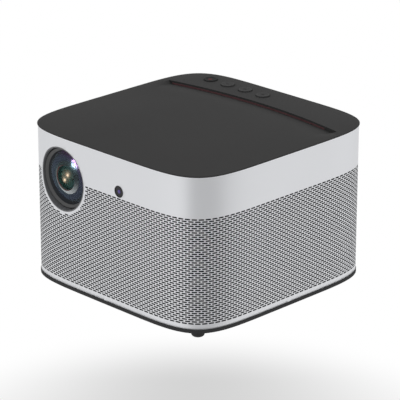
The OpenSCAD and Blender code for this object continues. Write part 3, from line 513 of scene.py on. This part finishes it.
def sheet_piece(name, faces, outer, inner, in_slot):
    """A closed sheet: the faces on its outer side, the same on its inner side, and all cut edges.

    The inner side and the slots' edges are black, which in the slots is painted shade, and a line along the
    upper edge is painted brighter as a painted highlight.
    """
    used = np.unique(np.concatenate([np.array(f) for f in faces]))
    number = {int(v): i for i, v in enumerate(used)}
    count = len(used)
    front = [tuple(number[v] for v in f) for f in faces]
    back = [tuple(v + count for v in reversed(f)) for f in front]
    rims = open_edges(front)
    walls = [(b, a, a + count, b + count) for a, b in rims]
    verts = np.concatenate([outer[used], inner[used]])
    piece = add_object(name, verts, front + back + walls, finish("shell_silver"), sharp=50)
    piece.data.materials.append(finish("slot_black"))
    piece.data.materials.append(finish("shell_edge"))
    # faces above this line take the painted highlight
    line = SHELL_TOP - HIGHLIGHT_HEIGHT - EDGE_BREAK / 2
    looks = [2 if min(outer[used[v]][2] for v in f) > line else 0 for f in front]
    # the inner side and the slots' edges take the black; in the slots it is painted shade
    looks += [1] * len(back) + [int(in_slot[used[a]] and in_slot[used[b]]) for a, b in rims]
    piece.data.polygons.foreach_set("material_index", looks)
    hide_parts("outer_shell")


def build_shell():
    shell = Shell()
    shell.lay_cells()
    shell.lay_cut_cells()
    outer, inner = shell.sides()
    for sector in range(SHELL_SECTORS):
        faces = [face for face, s in zip(shell.faces, shell.sectors) if s == sector]
        sheet_piece(f"outer_shell_{sector + 1}", faces, outer, inner, shell.in_slot)


# ---- top cover ----

EDGE_R = 0.45 * MM
KEY_EDGE = 0.2 * MM                   # broken upper edge of the key holes
GROOVE_R = 450 * MM
GROOVE_BACK_Y = 68 * MM
GROOVE_DEPTH = 3 * MM
RAMP_LENGTH = 31 * MM
RAMP_POWER = 2.5
ROW_POWER = 0.7                       # crowds the ramp's rows towards its deep side
GROOVE_HALF = 93 * MM
RUN_OUT = 3 * MM                      # over which the groove fades out at its ends
GROOVE_CENTRE_Y = GROOVE_BACK_Y - GROOVE_R
GROOVE_ANGLE = math.asin(GROOVE_HALF / GROOVE_R)
FLOOR_ANGLE = GROOVE_ANGLE + 0.004    # half the spread of the box under the groove
BAR_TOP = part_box("light_bar")[1].z
BAR_LEFT = -math.asin(90 * MM / GROOVE_R)
BAR_RIGHT = math.asin(77 * MM / GROOVE_R)
BAR_POCKET = 3.4 * MM
LIP = 0.15 * MM                       # bevel of the rim's lower edge
DECK_BOTTOM = SHELL_TOP - 1.3 * MM    # underside of the part that drops into the shell
DECK_INSET = COVER_HALF - SHELL_HALF + 1.9 * MM
FLOOR_BOTTOM = COVER_TOP - GROOVE_DEPTH - 2 * MM
KEY_NAMES = ("power_key", "minus_key", "play_key", "plus_key")
KEY_HOLE_R = 5.9 * MM


def arc_point(r, angle):
    """A point in plan at radius r from the groove's centre, at angle clockwise from +Y."""
    return r * np.sin(angle), GROOVE_CENTRE_Y + r * np.cos(angle)


class MeshMaker:
    """Collects points and faces, and gives back the numbers of the points it adds."""

    def __init__(self):
        self.verts, self.faces = [], []

    def points(self, plan, z):
        start = len(self.verts)
        heights = np.broadcast_to(z, (len(plan),))
        self.verts += [(p[0], p[1], h) for p, h in zip(plan, heights)]
        return list(range(start, len(self.verts)))

    def strip(self, a, b):
        """Quads from ring a to ring b; they face outwards when a is above b and runs anticlockwise."""
        for (a0, a1), (b0, b1) in zip(ring_pairs(a), ring_pairs(b)):
            self.faces.append((a0, b0, b1, a1))

    def patch(self, loops, up=True):
        """A flat face inside the first loop and outside the others."""
        ids = [i for loop in loops for i in loop]
        rings = [np.array([self.verts[i][:2] for i in loop]) / MM for loop in loops]
        edges, start = [], 0
        for loop in loops:
            edges += ring_pairs(list(range(start, start + len(loop))))
            start += len(loop)

        def keep(places):
            ok = inside_loop(rings[0], places)
            for ring in rings[1:]:
                ok &= ~inside_loop(ring, places)
            return ok

        for tri in triangulate(np.concatenate(rings), edges, keep):
            face = tuple(ids[i] for i in tri)
            self.faces.append(face if up else face[::-1])


def cover_rim(m):
    """The rim, from the flat top round to the underside; gives its top and bottom rings."""
    profile = [(EDGE_R * (1 - math.sin(a)), COVER_TOP - EDGE_R * (1 - math.cos(a)))
               for a in np.radians([0, 22.5, 45, 67.5, 90])]
    profile += [(0, SHELL_TOP + LIP), (LIP, SHELL_TOP), (DECK_INSET, SHELL_TOP), (DECK_INSET, DECK_BOTTOM)]
    rings = [m.points(outline(COVER_HALF, 480, inset), z) for inset, z in profile]
    for a, b in zip(rings, rings[1:]):
        m.strip(a, b)
    return rings[0], rings[-1]


def key_holes(m):
    """The key holes; gives their top and bottom rings."""
    top, low = [], []
    upper = [(KEY_HOLE_R + KEY_EDGE, COVER_TOP), (KEY_HOLE_R, COVER_TOP - KEY_EDGE)]
    for key in KEY_NAMES:
        at = centre(key)
        rings = [m.points(circle(at.x, at.y, r, 64), z) for r, z in upper + [(KEY_HOLE_R, DECK_BOTTOM)]]
        m.strip(rings[1], rings[0])
        m.strip(rings[2], rings[1])
        top.append(rings[0])
        low.append(rings[2])
    return top, low


def groove_ramp(m, marks):
    """The ramp that falls towards the groove's rear wall, as rows of points from front to rear."""
    fade = np.clip((GROOVE_ANGLE - np.abs(marks)) * GROOVE_R / RUN_OUT, 0, 1)
    depth = GROOVE_DEPTH * fade * fade * (3 - 2 * fade)
    rows = []
    for share in np.linspace(0, 1, 25) ** ROW_POWER:
        x, y = arc_point(GROOVE_R - RAMP_LENGTH * (1 - share), marks)
        rows.append(m.points(np.stack([x, y], axis=-1), COVER_TOP - depth * share ** RAMP_POWER))
    for a, b in zip(rows, rows[1:]):
        for i in range(len(marks) - 1):
            m.faces.append((a[i], a[i + 1], b[i + 1], b[i]))
    return rows


def groove_wall(m, marks, foot):
    """The rear wall above the ramp's last row, with the light bar's pocket; gives its upper row."""
    plan = [m.verts[i][:2] for i in foot]
    top_row = [foot[0]] + m.points(plan[1:-1], COVER_TOP) + [foot[-1]]
    first, last = (int(np.argmin(np.abs(marks - a))) for a in (BAR_LEFT, BAR_RIGHT))
    middle_row = dict(zip(range(first, last + 1), m.points(plan[first:last + 1], BAR_TOP)))
    for i in range(len(marks) - 1):
        low, high = [foot[i], foot[i + 1]], [top_row[i + 1], top_row[i]]
        if first <= i < last:
            low = [middle_row[i], middle_row[i + 1]]
        elif i + 1 == first:
            low.append(middle_row[first])
        elif i == last:
            high.append(middle_row[last])
        m.faces.append(without_repeats(low + high))
    x, y = arc_point(GROOVE_R + BAR_POCKET, marks[first:last + 1])
    deep = np.stack([x, y], axis=-1)
    low_back, high_back = m.points(deep, COVER_TOP - GROOVE_DEPTH), m.points(deep, BAR_TOP)
    front_low, front_high = foot[first:last + 1], list(middle_row.values())
    for i in range(last - first):
        m.faces.append((front_low[i], front_low[i + 1], low_back[i + 1], low_back[i]))
        m.faces.append((high_back[i], high_back[i + 1], front_high[i + 1], front_high[i]))
        m.faces.append((low_back[i], low_back[i + 1], high_back[i + 1], high_back[i]))
    m.faces.append((front_low[0], low_back[0], high_back[0], front_high[0]))
    m.faces.append((front_high[-1], high_back[-1], low_back[-1], front_low[-1]))
    return top_row


def groove_floor(m):
    """The box under the groove, which stands out below the deck; gives its ring in the deck."""
    spread = np.linspace(-FLOOR_ANGLE, FLOOR_ANGLE, 40)
    rim = [arc_point(GROOVE_R + 5 * MM, a) for a in spread]
    rim += [arc_point(GROOVE_R - RAMP_LENGTH * 0.6, a) for a in spread[::-1]]
    high, low = m.points(rim, DECK_BOTTOM), m.points(rim, FLOOR_BOTTOM)
    m.strip(low, high)
    m.patch([low[::-1]], up=False)
    return high


def build_cover():
    m = MeshMaker()
    top_rim, low_rim = cover_rim(m)
    top_holes, low_holes = key_holes(m)
    marks = np.unique(np.concatenate([np.linspace(-GROOVE_ANGLE, GROOVE_ANGLE, 96), [BAR_LEFT, BAR_RIGHT]]))
    ramp = groove_ramp(m, marks)
    wall_top = groove_wall(m, marks, ramp[-1])
    right_end, left_end = [row[-1] for row in ramp[1:]], [row[0] for row in ramp[1:]]
    groove_loop = ramp[0] + right_end + wall_top[1:-1][::-1] + left_end[::-1]
    m.patch([top_rim, groove_loop] + top_holes)
    m.patch([low_rim, groove_floor(m)] + low_holes, up=False)
    piece = add_object("top_cover_shell", m.verts, m.faces, finish("cover_black"), sharp=35)
    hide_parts("top_cover")


# ---- materials ----


def matt_black(name, colour, darker=None):
    return plastic(name, colour, 0.8, grain=0.25 * MM, tint=0.03, darker=darker, Specular_IOR_Level=0.16)


def groove_painted_shade(n, place):
    """How much painted shade darkens the ramp towards the light bar, 0 to 0.3."""
    parts = n.add("SeparateXYZ", {"Vector": place})
    x, y = parts.outputs["X"], n.math("SUBTRACT", parts.outputs["Y"], GROOVE_CENTRE_Y)
    r = n.math("SQRT", n.math("ADD", n.math("MULTIPLY", x, x), n.math("MULTIPLY", y, y)))
    near = n.ramp(r, GROOVE_R - 17 * MM, GROOVE_R, 0.0, 0.3)
    inside = n.math("LESS_THAN", r, GROOVE_R - 0.05 * MM)
    ends = n.ramp(n.math("ABSOLUTE", x), GROOVE_HALF - 4 * MM, GROOVE_HALF + 5 * MM, 1.0, 0.0)
    return n.math("MULTIPLY", n.math("MULTIPLY", near, inside), ends)


def shell_paint(name, gain=1.0):
    colour = [c * gain for c in (0.695, 0.703, 0.724)]
    return surface(name, colour, 0.38, metallic=0.75, tint=0.02, rough_spread=0.03, grain=0.12 * MM,
                   bump=0.004 * MM, patch=60 * MM)


def glass(name, tints, strength=0.5, rough=0.1, rim_reflection_paint=None):
    """Clear coated glass: a view straight through it, and over that a tinted reflection.

    The tints are at the middle and farther out; a further tint, if given, is a painted reflection colour on
    the rim, above and towards +X.
    """
    material, n, place = new_material(name)
    parts = n.add("SeparateXYZ", {"Vector": place})
    x = n.math("SUBTRACT", parts.outputs["X"], LENS.x)
    z = n.math("SUBTRACT", parts.outputs["Z"], LENS.z)
    r = n.math("SQRT", n.math("ADD", n.math("MULTIPLY", x, x), n.math("MULTIPLY", z, z)))
    haze = n.noise(place, 5 * MM, detail=3)
    tint = n.mix(n.ramp(r, 6 * MM, 16 * MM), rgba(tints[0]), rgba(tints[1]))
    # painted reflection: the rim's upper +X side is tinted purple
    if rim_reflection_paint:
        side = n.math("ADD", z, n.math("MULTIPLY", x, 0.8))
        rim = n.math("MULTIPLY", n.ramp(r, 15.5 * MM, 19.5 * MM), n.ramp(side, 8 * MM, 18 * MM), clamp=True)
        tint = n.mix(rim, tint, rgba(rim_reflection_paint))
    slant = n.add("LayerWeight", {"Blend": 0.5}).outputs["Facing"]
    gloss = n.math("ADD", n.math("MULTIPLY", n.math("POWER", slant, 5.0), 0.95 * strength), 0.05 * strength)
    shader = n.add("BsdfPrincipled", {"Base Color": tint, "Metallic": 1.0, "Alpha": gloss})
    n.set(shader, "Roughness", n.ramp(haze, 0.3, 0.7, rough, rough * 1.5))
    n.set(n.add("OutputMaterial"), "Surface", shader.outputs[0])
    return material


def board_green(name):
    """Solder mask with copper tracks under it."""
    material, n, place = new_material(name)
    tracks = n.add("TexBrick", {
        "Vector": place, "Scale": 150.0, "Mortar Size": 0.06,
        "Color1": rgba((0, 0, 0)), "Color2": rgba((0.15, 0.15, 0.15)), "Mortar": rgba((1, 1, 1)),
    })
    spots = n.add("TexVoronoi", {"Vector": place, "Scale": 260.0})
    pad = n.ramp(spots.outputs["Distance"], 0.12, 0.16, 1.0, 0.0)
    lines = n.math("MULTIPLY", tracks.outputs["Fac"], 0.6)
    base = n.mix(lines, rgba((0.012, 0.085, 0.04)), rgba((0.03, 0.19, 0.09)))
    base = n.mix(pad, base, rgba((0.6, 0.55, 0.4)))
    shader = n.add("BsdfPrincipled", {"Base Color": base})
    n.set(shader, "Roughness", n.ramp(n.noise(place, 2 * MM), 0.3, 0.7, 0.25, 0.4))
    n.set(n.add("OutputMaterial"), "Surface", shader.outputs[0])
    return material


def screen_cloth(name):
    """Fine black woven screen."""
    material, n, place = new_material(name)
    waves = []
    for direction in ("Z", "X", "Y"):
        wave = n.add("TexWave", {"Vector": place, "Scale": 520.0}, bands_direction=direction)
        waves.append(wave.outputs["Fac"])
    weave = n.math("MULTIPLY", waves[0], n.math("MAXIMUM", waves[1], waves[2]))
    base = n.mix(weave, rgba((0.003, 0.003, 0.0035)), rgba((0.012, 0.012, 0.014)))
    shader = n.add("BsdfPrincipled", {"Base Color": base, "Roughness": 0.85})
    relief = n.add("Bump", {"Height": weave, "Strength": 0.4, "Distance": 0.05 * MM})
    n.set(shader, "Normal", relief.outputs[0])
    n.set(n.add("OutputMaterial"), "Surface", shader.outputs[0])
    return material


FINISHES = {
    # the cover's colour carries painted shade on the groove's ramp
    "cover_black": lambda name: matt_black(name, (0.0322, 0.0319, 0.0318), groove_painted_shade),
    "key_black": lambda name: matt_black(name, (0.038, 0.038, 0.0382)),
    "base_black": lambda name: matt_black(name, (0.030, 0.030, 0.031)),
    "foot_rubber": lambda name: plastic(name, (0.016, 0.016, 0.016), 0.8, grain=0.5 * MM, bump=0.04 * MM),
    "light_bar_red": lambda name: plastic(name, (0.09, 0.036, 0.04), 0.5, bump=0.005 * MM),
    "insert_brass": lambda name: metal(name, (0.6, 0.43, 0.18), 0.3, stretch=(1, 1, 12)),
    "screw_steel": lambda name: metal(name, (0.09, 0.09, 0.095), 0.35),
    "chassis_black": lambda name: plastic(name, (0.028, 0.028, 0.03), 0.55, grain=0.6 * MM),
    "bezel_grey": lambda name: plastic(name, (0.12, 0.121, 0.126), 0.45, grain=0.2 * MM, bump=0.008 * MM),
    "barrel_black": lambda name: plastic(name, (0.011, 0.011, 0.012), 0.6, grain=0.3 * MM),
    "lens_glass": lambda name: glass(
        name, ((0.35, 0.95, 0.8), (0.55, 0.8, 1.0)), rim_reflection_paint=(0.75, 0.22, 1.0)),
    "gear_white": lambda name: plastic(name, (0.7, 0.68, 0.62), 0.4, bump=0.01 * MM),
    "motor_steel": lambda name: metal(name, (0.5, 0.5, 0.51), 0.3, stretch=(1, 10, 1)),
    "engine_magnesium": lambda name: metal(name, (0.42, 0.42, 0.43), 0.5, bump=0.05 * MM),
    "prism_glass": lambda name: glass(name, ((0.9, 0.95, 1.0), (0.9, 0.95, 1.0)), strength=1.0),
    "mirror_coating": lambda name: metal(name, (0.45, 0.58, 0.85), 0.05, bump=0.0),
    "led_copper": lambda name: metal(name, (0.62, 0.34, 0.2), 0.35),
    "fin_aluminium": lambda name: metal(name, (0.62, 0.63, 0.64), 0.35, stretch=(1, 1, 8)),
    "pipe_copper": lambda name: metal(name, (0.62, 0.32, 0.18), 0.3, tint=0.2),
    "fan_black": lambda name: plastic(name, (0.018, 0.018, 0.019), 0.45, grain=0.5 * MM),
    "panel_black": lambda name: plastic(name, (0.024, 0.024, 0.025), 0.5, grain=0.35 * MM),
    "socket_steel": lambda name: metal(name, (0.55, 0.55, 0.56), 0.3, stretch=(1, 6, 1)),
    "cone_paper": lambda name: plastic(name, (0.035, 0.035, 0.037), 0.8, grain=0.8 * MM, bump=0.08 * MM),
    "surround_rubber": lambda name: plastic(name, (0.016, 0.016, 0.016), 0.6),
    "window_smoke": lambda name: plastic(name, (0.01, 0.01, 0.012), 0.2, bump=0.0, Specular_IOR_Level=0.3),
    "cable_grey": lambda name: plastic(name, (0.7, 0.71, 0.73), 0.5),
    "shell_silver": shell_paint,
    # painted highlight: the shell paint made 12% brighter for the line along the upper edge
    "shell_edge": lambda name: shell_paint(name, gain=1.12),
    # black for the inner side, and painted shade on the slots' edges
    "slot_black": lambda name: matt_black(name, (0.005, 0.005, 0.0055)),
    "screen_fabric": screen_cloth,
    "circuit_board": board_green,
    "power_key_black": lambda name: matt_black(name, (0.022, 0.022, 0.022)),
    "symbol_black": lambda name: matt_black(name, (0.012, 0.012, 0.012)),
    # painted highlight on the raised keys' rims
    "key_rim_grey": lambda name: matt_black(name, (0.062, 0.062, 0.062)),
    "power_red": lambda name: matt_black(name, (0.1, 0.032, 0.036)),
    "sensor_violet": lambda name: plastic(name, (0.06, 0.035, 0.2), 0.15, bump=0.0),
    "trim_grey": lambda name: plastic(name, (0.056, 0.056, 0.057), 0.5, grain=0.2 * MM, bump=0.006 * MM),
    "baffle_black": lambda name: matt_black(name, (0.016, 0.017, 0.019)),
    "spacer_blue": lambda name: matt_black(name, (0.018, 0.02, 0.034)),
    "retainer_grey": lambda name: matt_black(name, (0.018, 0.02, 0.021)),
    "aperture_red": lambda name: plastic(name, (0.1, 0.012, 0.01), 0.5),
    "eye_glass": lambda name: glass(name, ((1.0, 0.72, 0.5), (0.25, 0.55, 0.45)), strength=0.2, rough=0.28),
    "barrel_glass": lambda name: glass(name, ((0.5, 0.6, 0.6), (0.3, 0.5, 0.4)), strength=0.15),
}
made = {}


def finish(look):
    """The material of this name, made once."""
    if look not in made:
        made[look] = FINISHES[look](look)
    return made[look]


NODE_FINISHES = {
    "screen_fabric": ["dust_screen"],
    "light_bar_red": ["light_bar"],
    "circuit_board": ["light_bar_board", "key_board", "image_chip_board", "main_board", "power_board",
                      "front_board"],
    "key_black": ["minus_key", "play_key", "plus_key"],
    "power_key_black": ["power_key"],
    "base_black": ["base_plate"],
    "foot_rubber": ["rubber_feet"],
    "insert_brass": ["tripod_insert"],
    "screw_steel": ["base_screws"],
    "chassis_black": ["chassis_frame", "speaker_boxes", "speaker_drivers"],
    "bezel_grey": ["lens_bezel"],
    "barrel_black": ["lens_barrel", "focus_cell", "focus_camera"],
    "barrel_glass": ["second_lens", "rear_lens", "condenser_lenses"],
    "gear_white": ["focus_ring", "focus_pinion"],
    "motor_steel": ["focus_motor"],
    "engine_magnesium": ["engine_housing", "engine_cover"],
    "prism_glass": ["prism"],
    "mirror_coating": ["dichroic_mirrors"],
    "led_copper": ["red_led_module", "green_led_module", "blue_led_module"],
    "fin_aluminium": ["image_chip_heat_sink", "left_heat_sink", "right_heat_sink"],
    "pipe_copper": ["heat_pipes"],
    "fan_black": ["left_fan_housing", "left_fan_impeller", "right_fan_housing", "right_fan_impeller"],
    "panel_black": ["port_panel", "power_inlet", "headphone_socket", "optical_socket"],
    "socket_steel": ["hdmi_sockets", "usb_sockets", "lan_socket"],
    "cone_paper": ["left_cone", "right_cone"],
    "surround_rubber": ["cone_surrounds"],
    "window_smoke": ["sensor_window"],
    "cable_grey": ["key_cable", "wifi_antennas"],
}


def dress_cad_nodes():
    for look, names in NODE_FINISHES.items():
        for name in names:
            node = nodes[name]
            if not node.material_slots:
                node.data.materials.append(None)
            for place in node.material_slots:
                place.material = finish(look)


dress_cad_nodes()
build_shell()
build_cover()

# ---- lens parts, key symbols and other small pieces ----


def turned(name, profile, look, x=LENS.x, z=LENS.z, closed=True):
    """A piece turned about an axis along Y from a profile of (radius, y) in millimetres."""
    count = 96
    turn = np.linspace(0, 2 * math.pi, count, endpoint=False)
    verts, faces, rows = [], [], []
    for r, y in [(r * MM, y * MM) for r, y in profile]:
        start = len(verts)
        if r == 0:
            verts.append((x, y, z))
            rows.append([start] * count)
        else:
            verts += [(x + r * math.cos(a), y, z + r * math.sin(a)) for a in turn]
            rows.append(list(range(start, start + count)))
    for a, b in ring_pairs(rows) if closed else zip(rows, rows[1:]):
        for (a0, a1), (b0, b1) in zip(ring_pairs(a), ring_pairs(b)):
            face = without_repeats((a0, a1, b1, b0))
            if len(face) > 2:
                faces.append(face)
    piece = add_object(name, verts, faces, finish(look), sharp=35)
    return piece


def symbol(name, shape, at, bottom, thick, look, key):
    """A flat symbol lying on a key, its shape in millimetres about a place in plan."""
    n = len(shape)
    verts = [(at[0] + px * MM, at[1] + py * MM, bottom + h) for h in (0, thick) for px, py in shape]
    faces = [tuple(range(n))[::-1], tuple(range(n, 2 * n))]
    faces += [(i, (i + 1) % n, n + (i + 1) % n, n + i) for i in range(n)]
    piece = add_object(name, verts, faces, finish(look), key)


def dome(y, curve, reach, steps=10):
    """Profile of a spherical cap with its apex at y, from the axis out to reach."""
    side = 1 if curve > 0 else -1
    c = abs(curve)
    radii = [reach * i / steps for i in range(steps + 1)]
    return [(r, y + side * (c - math.sqrt(c * c - r ** 2))) for r in radii]


def build_lens_parts():
    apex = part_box("front_lens")[0].y / MM
    # Profiles of the rings, as radius and depth behind the front glass's apex
    rings = [
        ("lens_trim_ring", "bezel_grey", "trim_grey",
         [(21.75, 3.5), (23.8, 1.9), (24.4, 2.3), (24.4, 2.5), (23.8, 2.1), (21.75, 3.7)]),
        ("lens_baffle_ring", "barrel_black", "baffle_black",
         [(21.6, 3.75), (18.4, 3.9), (18.4, 4.3), (21.6, 4.1)]),
        ("lens_spacer_ring", "barrel_black", "spacer_blue",
         [(18.3, 3.9), (13.4, 3.5), (13.4, 3.9), (18.3, 4.3)]),
        ("lens_retaining_ring", "bezel_grey", "retainer_grey",
         [(13.3, 3.4), (10.3, 1.5), (10.3, 1.9), (13.3, 3.8)]),
        ("lens_aperture_ring", "barrel_black", "aperture_red",
         [(10.3, 1.6), (9.9, 2.2), (9.9, 2.5), (10.3, 2.0)]),
    ]
    for name, slot, look, profile in rings:
        turned(name, [(r, apex + depth) for r, depth in profile], look)
    outside = dome(apex, 65, 21.7, 28)
    side = [(21.7, apex + 10.79), (15, apex + 10.79)]
    hollow = dome(apex + 3.2, 70, 14.4, 12)[::-1]
    glasses = [
        ("front_lens_glass", outside + side + hollow, "lens_glass"),
        ("lens_inner_element", dome(apex + 1.9, 12, 7), "eye_glass"),
        ("lens_rear_element", dome(apex + 2.6, -10, 4.5), "eye_glass"),
    ]
    pieces = [turned(name, profile, look, closed=False) for name, profile, look in glasses]
    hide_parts("front_lens")
    return pieces


def build_key_symbols():
    bar = [(-1.8, -0.45), (1.8, -0.45), (1.8, 0.45), (-1.8, 0.45)]
    arrow = [(-1.3, -1.7), (1.8, 0), (-1.3, 1.7)]
    a, b = 1.8, 0.45
    arm = [(b, -b), (a, -b), (a, b), (b, b)]
    cross = [(-b, -a), (b, -a)] + arm + [(b, a), (-b, a)] + [(-x, -y) for x, y in arm]
    for key, shape in (("minus_key", bar), ("play_key", arrow), ("plus_key", cross)):
        bottom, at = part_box(key)[1].z - 0.15 * MM, centre(key)
        name = key.replace("key", "symbol")
        symbol(name, shape, at, bottom, 0.03 * MM, "symbol_black", key)
    bottom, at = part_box("power_key")[1].z - 0.9 * MM, centre("power_key")
    dot = circle(-0.7, 0.1, 1.7, 32)
    symbol("power_light", dot, at, bottom, 0.24 * MM, "power_red", "power_key")


def build_key_rims():
    """A thin lighter ring round the top of each raised key, a painted highlight."""
    for key in ("minus_key", "play_key", "plus_key"):
        top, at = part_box(key)[1].z, centre(key)
        m = MeshMaker()
        rows = [m.points(circle(at.x, at.y, r * MM, 64), top - h * MM)
                for r, h in ((5.18, -0.008), (4.72, -0.008), (4.72, 0.05), (5.18, 0.05))]
        for a, b in ring_pairs(rows):
            m.strip(b, a)
        rim = add_object(key.replace("key", "rim"), m.verts, m.faces, finish("key_rim_grey"), key)


def build_sensor_lens():
    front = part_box("sensor_window")[0].y / MM
    profile = dome(front - 0.02, 4, 1.5)
    turned("sensor_lens", profile, "sensor_violet", SENSOR.x, SENSOR.z, closed=False)


lens_parts = build_lens_parts()
build_key_symbols()
build_key_rims()
build_sensor_lens()

# ---- light ----


SHADE_AZIMUTH = -45                   # heading of the floor's painted shadow, a dimmer patch
SHADE_DEPTH = 0.34
# Distances from the object's middle between which the patch sets in, and between which it ends
SHADE_START, SHADE_FULL = 100 * MM, 195 * MM
SHADE_FADE, SHADE_END = 240 * MM, 420 * MM
FLOOR_HALF = 6.0
# Dim sides of the studio: heading in degrees, cosine where each starts and is full, and by how much
DIM_SIDES = ((-24, 0.3, 0.9, 0.5), (180, 0.3, 1.0, 0.15), (105, 0.6, 1.0, 0.14))


def heading(azimuth, up=0.0):
    """A direction of unit length across the floor, tilted up or down."""
    turn = math.radians(azimuth)
    return Vector((math.cos(turn), math.sin(turn), up))


def build_stage():
    """A white glowing floor with a painted shadow: it is dimmer in front of the object's near corner."""
    corners = [(x * FLOOR_HALF, y * FLOOR_HALF, 0) for x, y in ((-1, -1), (1, -1), (1, 1), (-1, 1))]
    mesh = bpy.data.meshes.new("floor")
    mesh.from_pydata(corners, [], [(0, 1, 2, 3)])
    floor = bpy.data.objects.new("floor", mesh)
    bpy.context.scene.collection.objects.link(floor)
    material, n, place = new_material("floor")
    parts = n.add("SeparateXYZ", {"Vector": place})
    x, y = parts.outputs["X"], parts.outputs["Y"]
    ahead = n.along(x, y, SHADE_AZIMUTH)
    aside = n.math("ABSOLUTE", n.along(x, y, SHADE_AZIMUTH + 90))
    side = n.ramp(n.math("DIVIDE", aside, n.math("MAXIMUM", ahead, 0.001)), 0.0, 1.0, 1.0, 0.0, smooth=True)
    near = n.ramp(ahead, SHADE_START, SHADE_FULL, smooth=True)
    far = n.ramp(ahead, SHADE_FADE, SHADE_END, 1.0, 0.0, smooth=True)
    shade = n.math("MULTIPLY", n.math("MULTIPLY", near, far), side)
    light = n.math("SUBTRACT", 1.0, n.math("MULTIPLY", shade, SHADE_DEPTH))
    glow = n.add("Emission", {"Color": rgba((1, 1, 1)), "Strength": light})
    n.set(n.add("OutputMaterial"), "Surface", glow.outputs[0])
    mesh.materials.append(material)
    floor.visible_glossy = False


def build_world():
    """An even studio dome, dimmer low down on some sides."""
    world = bpy.data.worlds.new("studio")
    world.use_nodes = True
    bpy.context.scene.world = world
    n = Nodes(world.node_tree)
    parts = n.add("SeparateXYZ", {"Vector": n.add("TexCoord").outputs["Generated"]})
    x, y, z = (parts.outputs[axis] for axis in "XYZ")
    level = n.math("SQRT", n.math("ADD", n.math("MULTIPLY", x, x), n.math("MULTIPLY", y, y)))
    dim = 0.0
    for azimuth, start, full, amount in DIM_SIDES:
        facing = n.math("DIVIDE", n.along(x, y, azimuth), n.math("MAXIMUM", level, 0.001))
        side = n.ramp(facing, start, full, smooth=True)
        dim = n.math("ADD", dim, n.math("MULTIPLY", side, amount))
    low = n.ramp(z, 0.05, 0.40, 1.0, 0.0, smooth=True)
    dim = n.math("MULTIPLY", dim, low)
    seen = n.add("LightPath").outputs["Is Camera Ray"]
    strength = n.math("MAXIMUM", n.math("SUBTRACT", 1.0, dim), seen)
    background = n.add("Background", {"Color": rgba((1, 1, 1)), "Strength": strength})
    n.set(n.add("OutputWorld"), "Surface", background.outputs[0])


def lens_light(name, shape, size, energy, toward, aim, pieces):
    """A lamp that lights these pieces only, standing the length of toward away from aim."""
    lamp = bpy.data.lights.new(name, "AREA")
    lamp.shape = shape
    lamp.size, lamp.size_y = size
    lamp.energy = energy
    light = bpy.data.objects.new(name, lamp)
    light.location = aim + toward
    light.rotation_mode = "QUATERNION"
    light.rotation_quaternion = toward.to_track_quat("Z", "Y")
    light.visible_camera = False
    bpy.context.scene.collection.objects.link(light)
    lit = bpy.data.collections.new(name)
    for piece in pieces:
        lit.objects.link(piece)
    light.light_linking.receiver_collection = lit
    light.light_linking.blocker_collection = lit


def build_lens_lights(pieces):
    front = Vector((LENS.x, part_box("front_lens")[0].y, LENS.z))
    upper = LENS + Vector((0, 0, 12 * MM))
    lens_light("window", "RECTANGLE", (0.17, 0.15), 6.0, heading(-116.7), upper, pieces[:1])
    lens_light("soft_box", "ELLIPSE", (0.14, 0.22), 34.0, heading(-118) * 0.75, front, pieces[1:])
    ring = bpy.data.objects["lens_retaining_ring"]
    lens_light("low_lamp", "DISK", (0.02, 0.02), 0.6, Vector((-0.03, -0.028, -0.09)), front, [ring])


build_stage()
build_world()
build_lens_lights(lens_parts)
bpy.context.scene.view_settings.view_transform = "Standard"
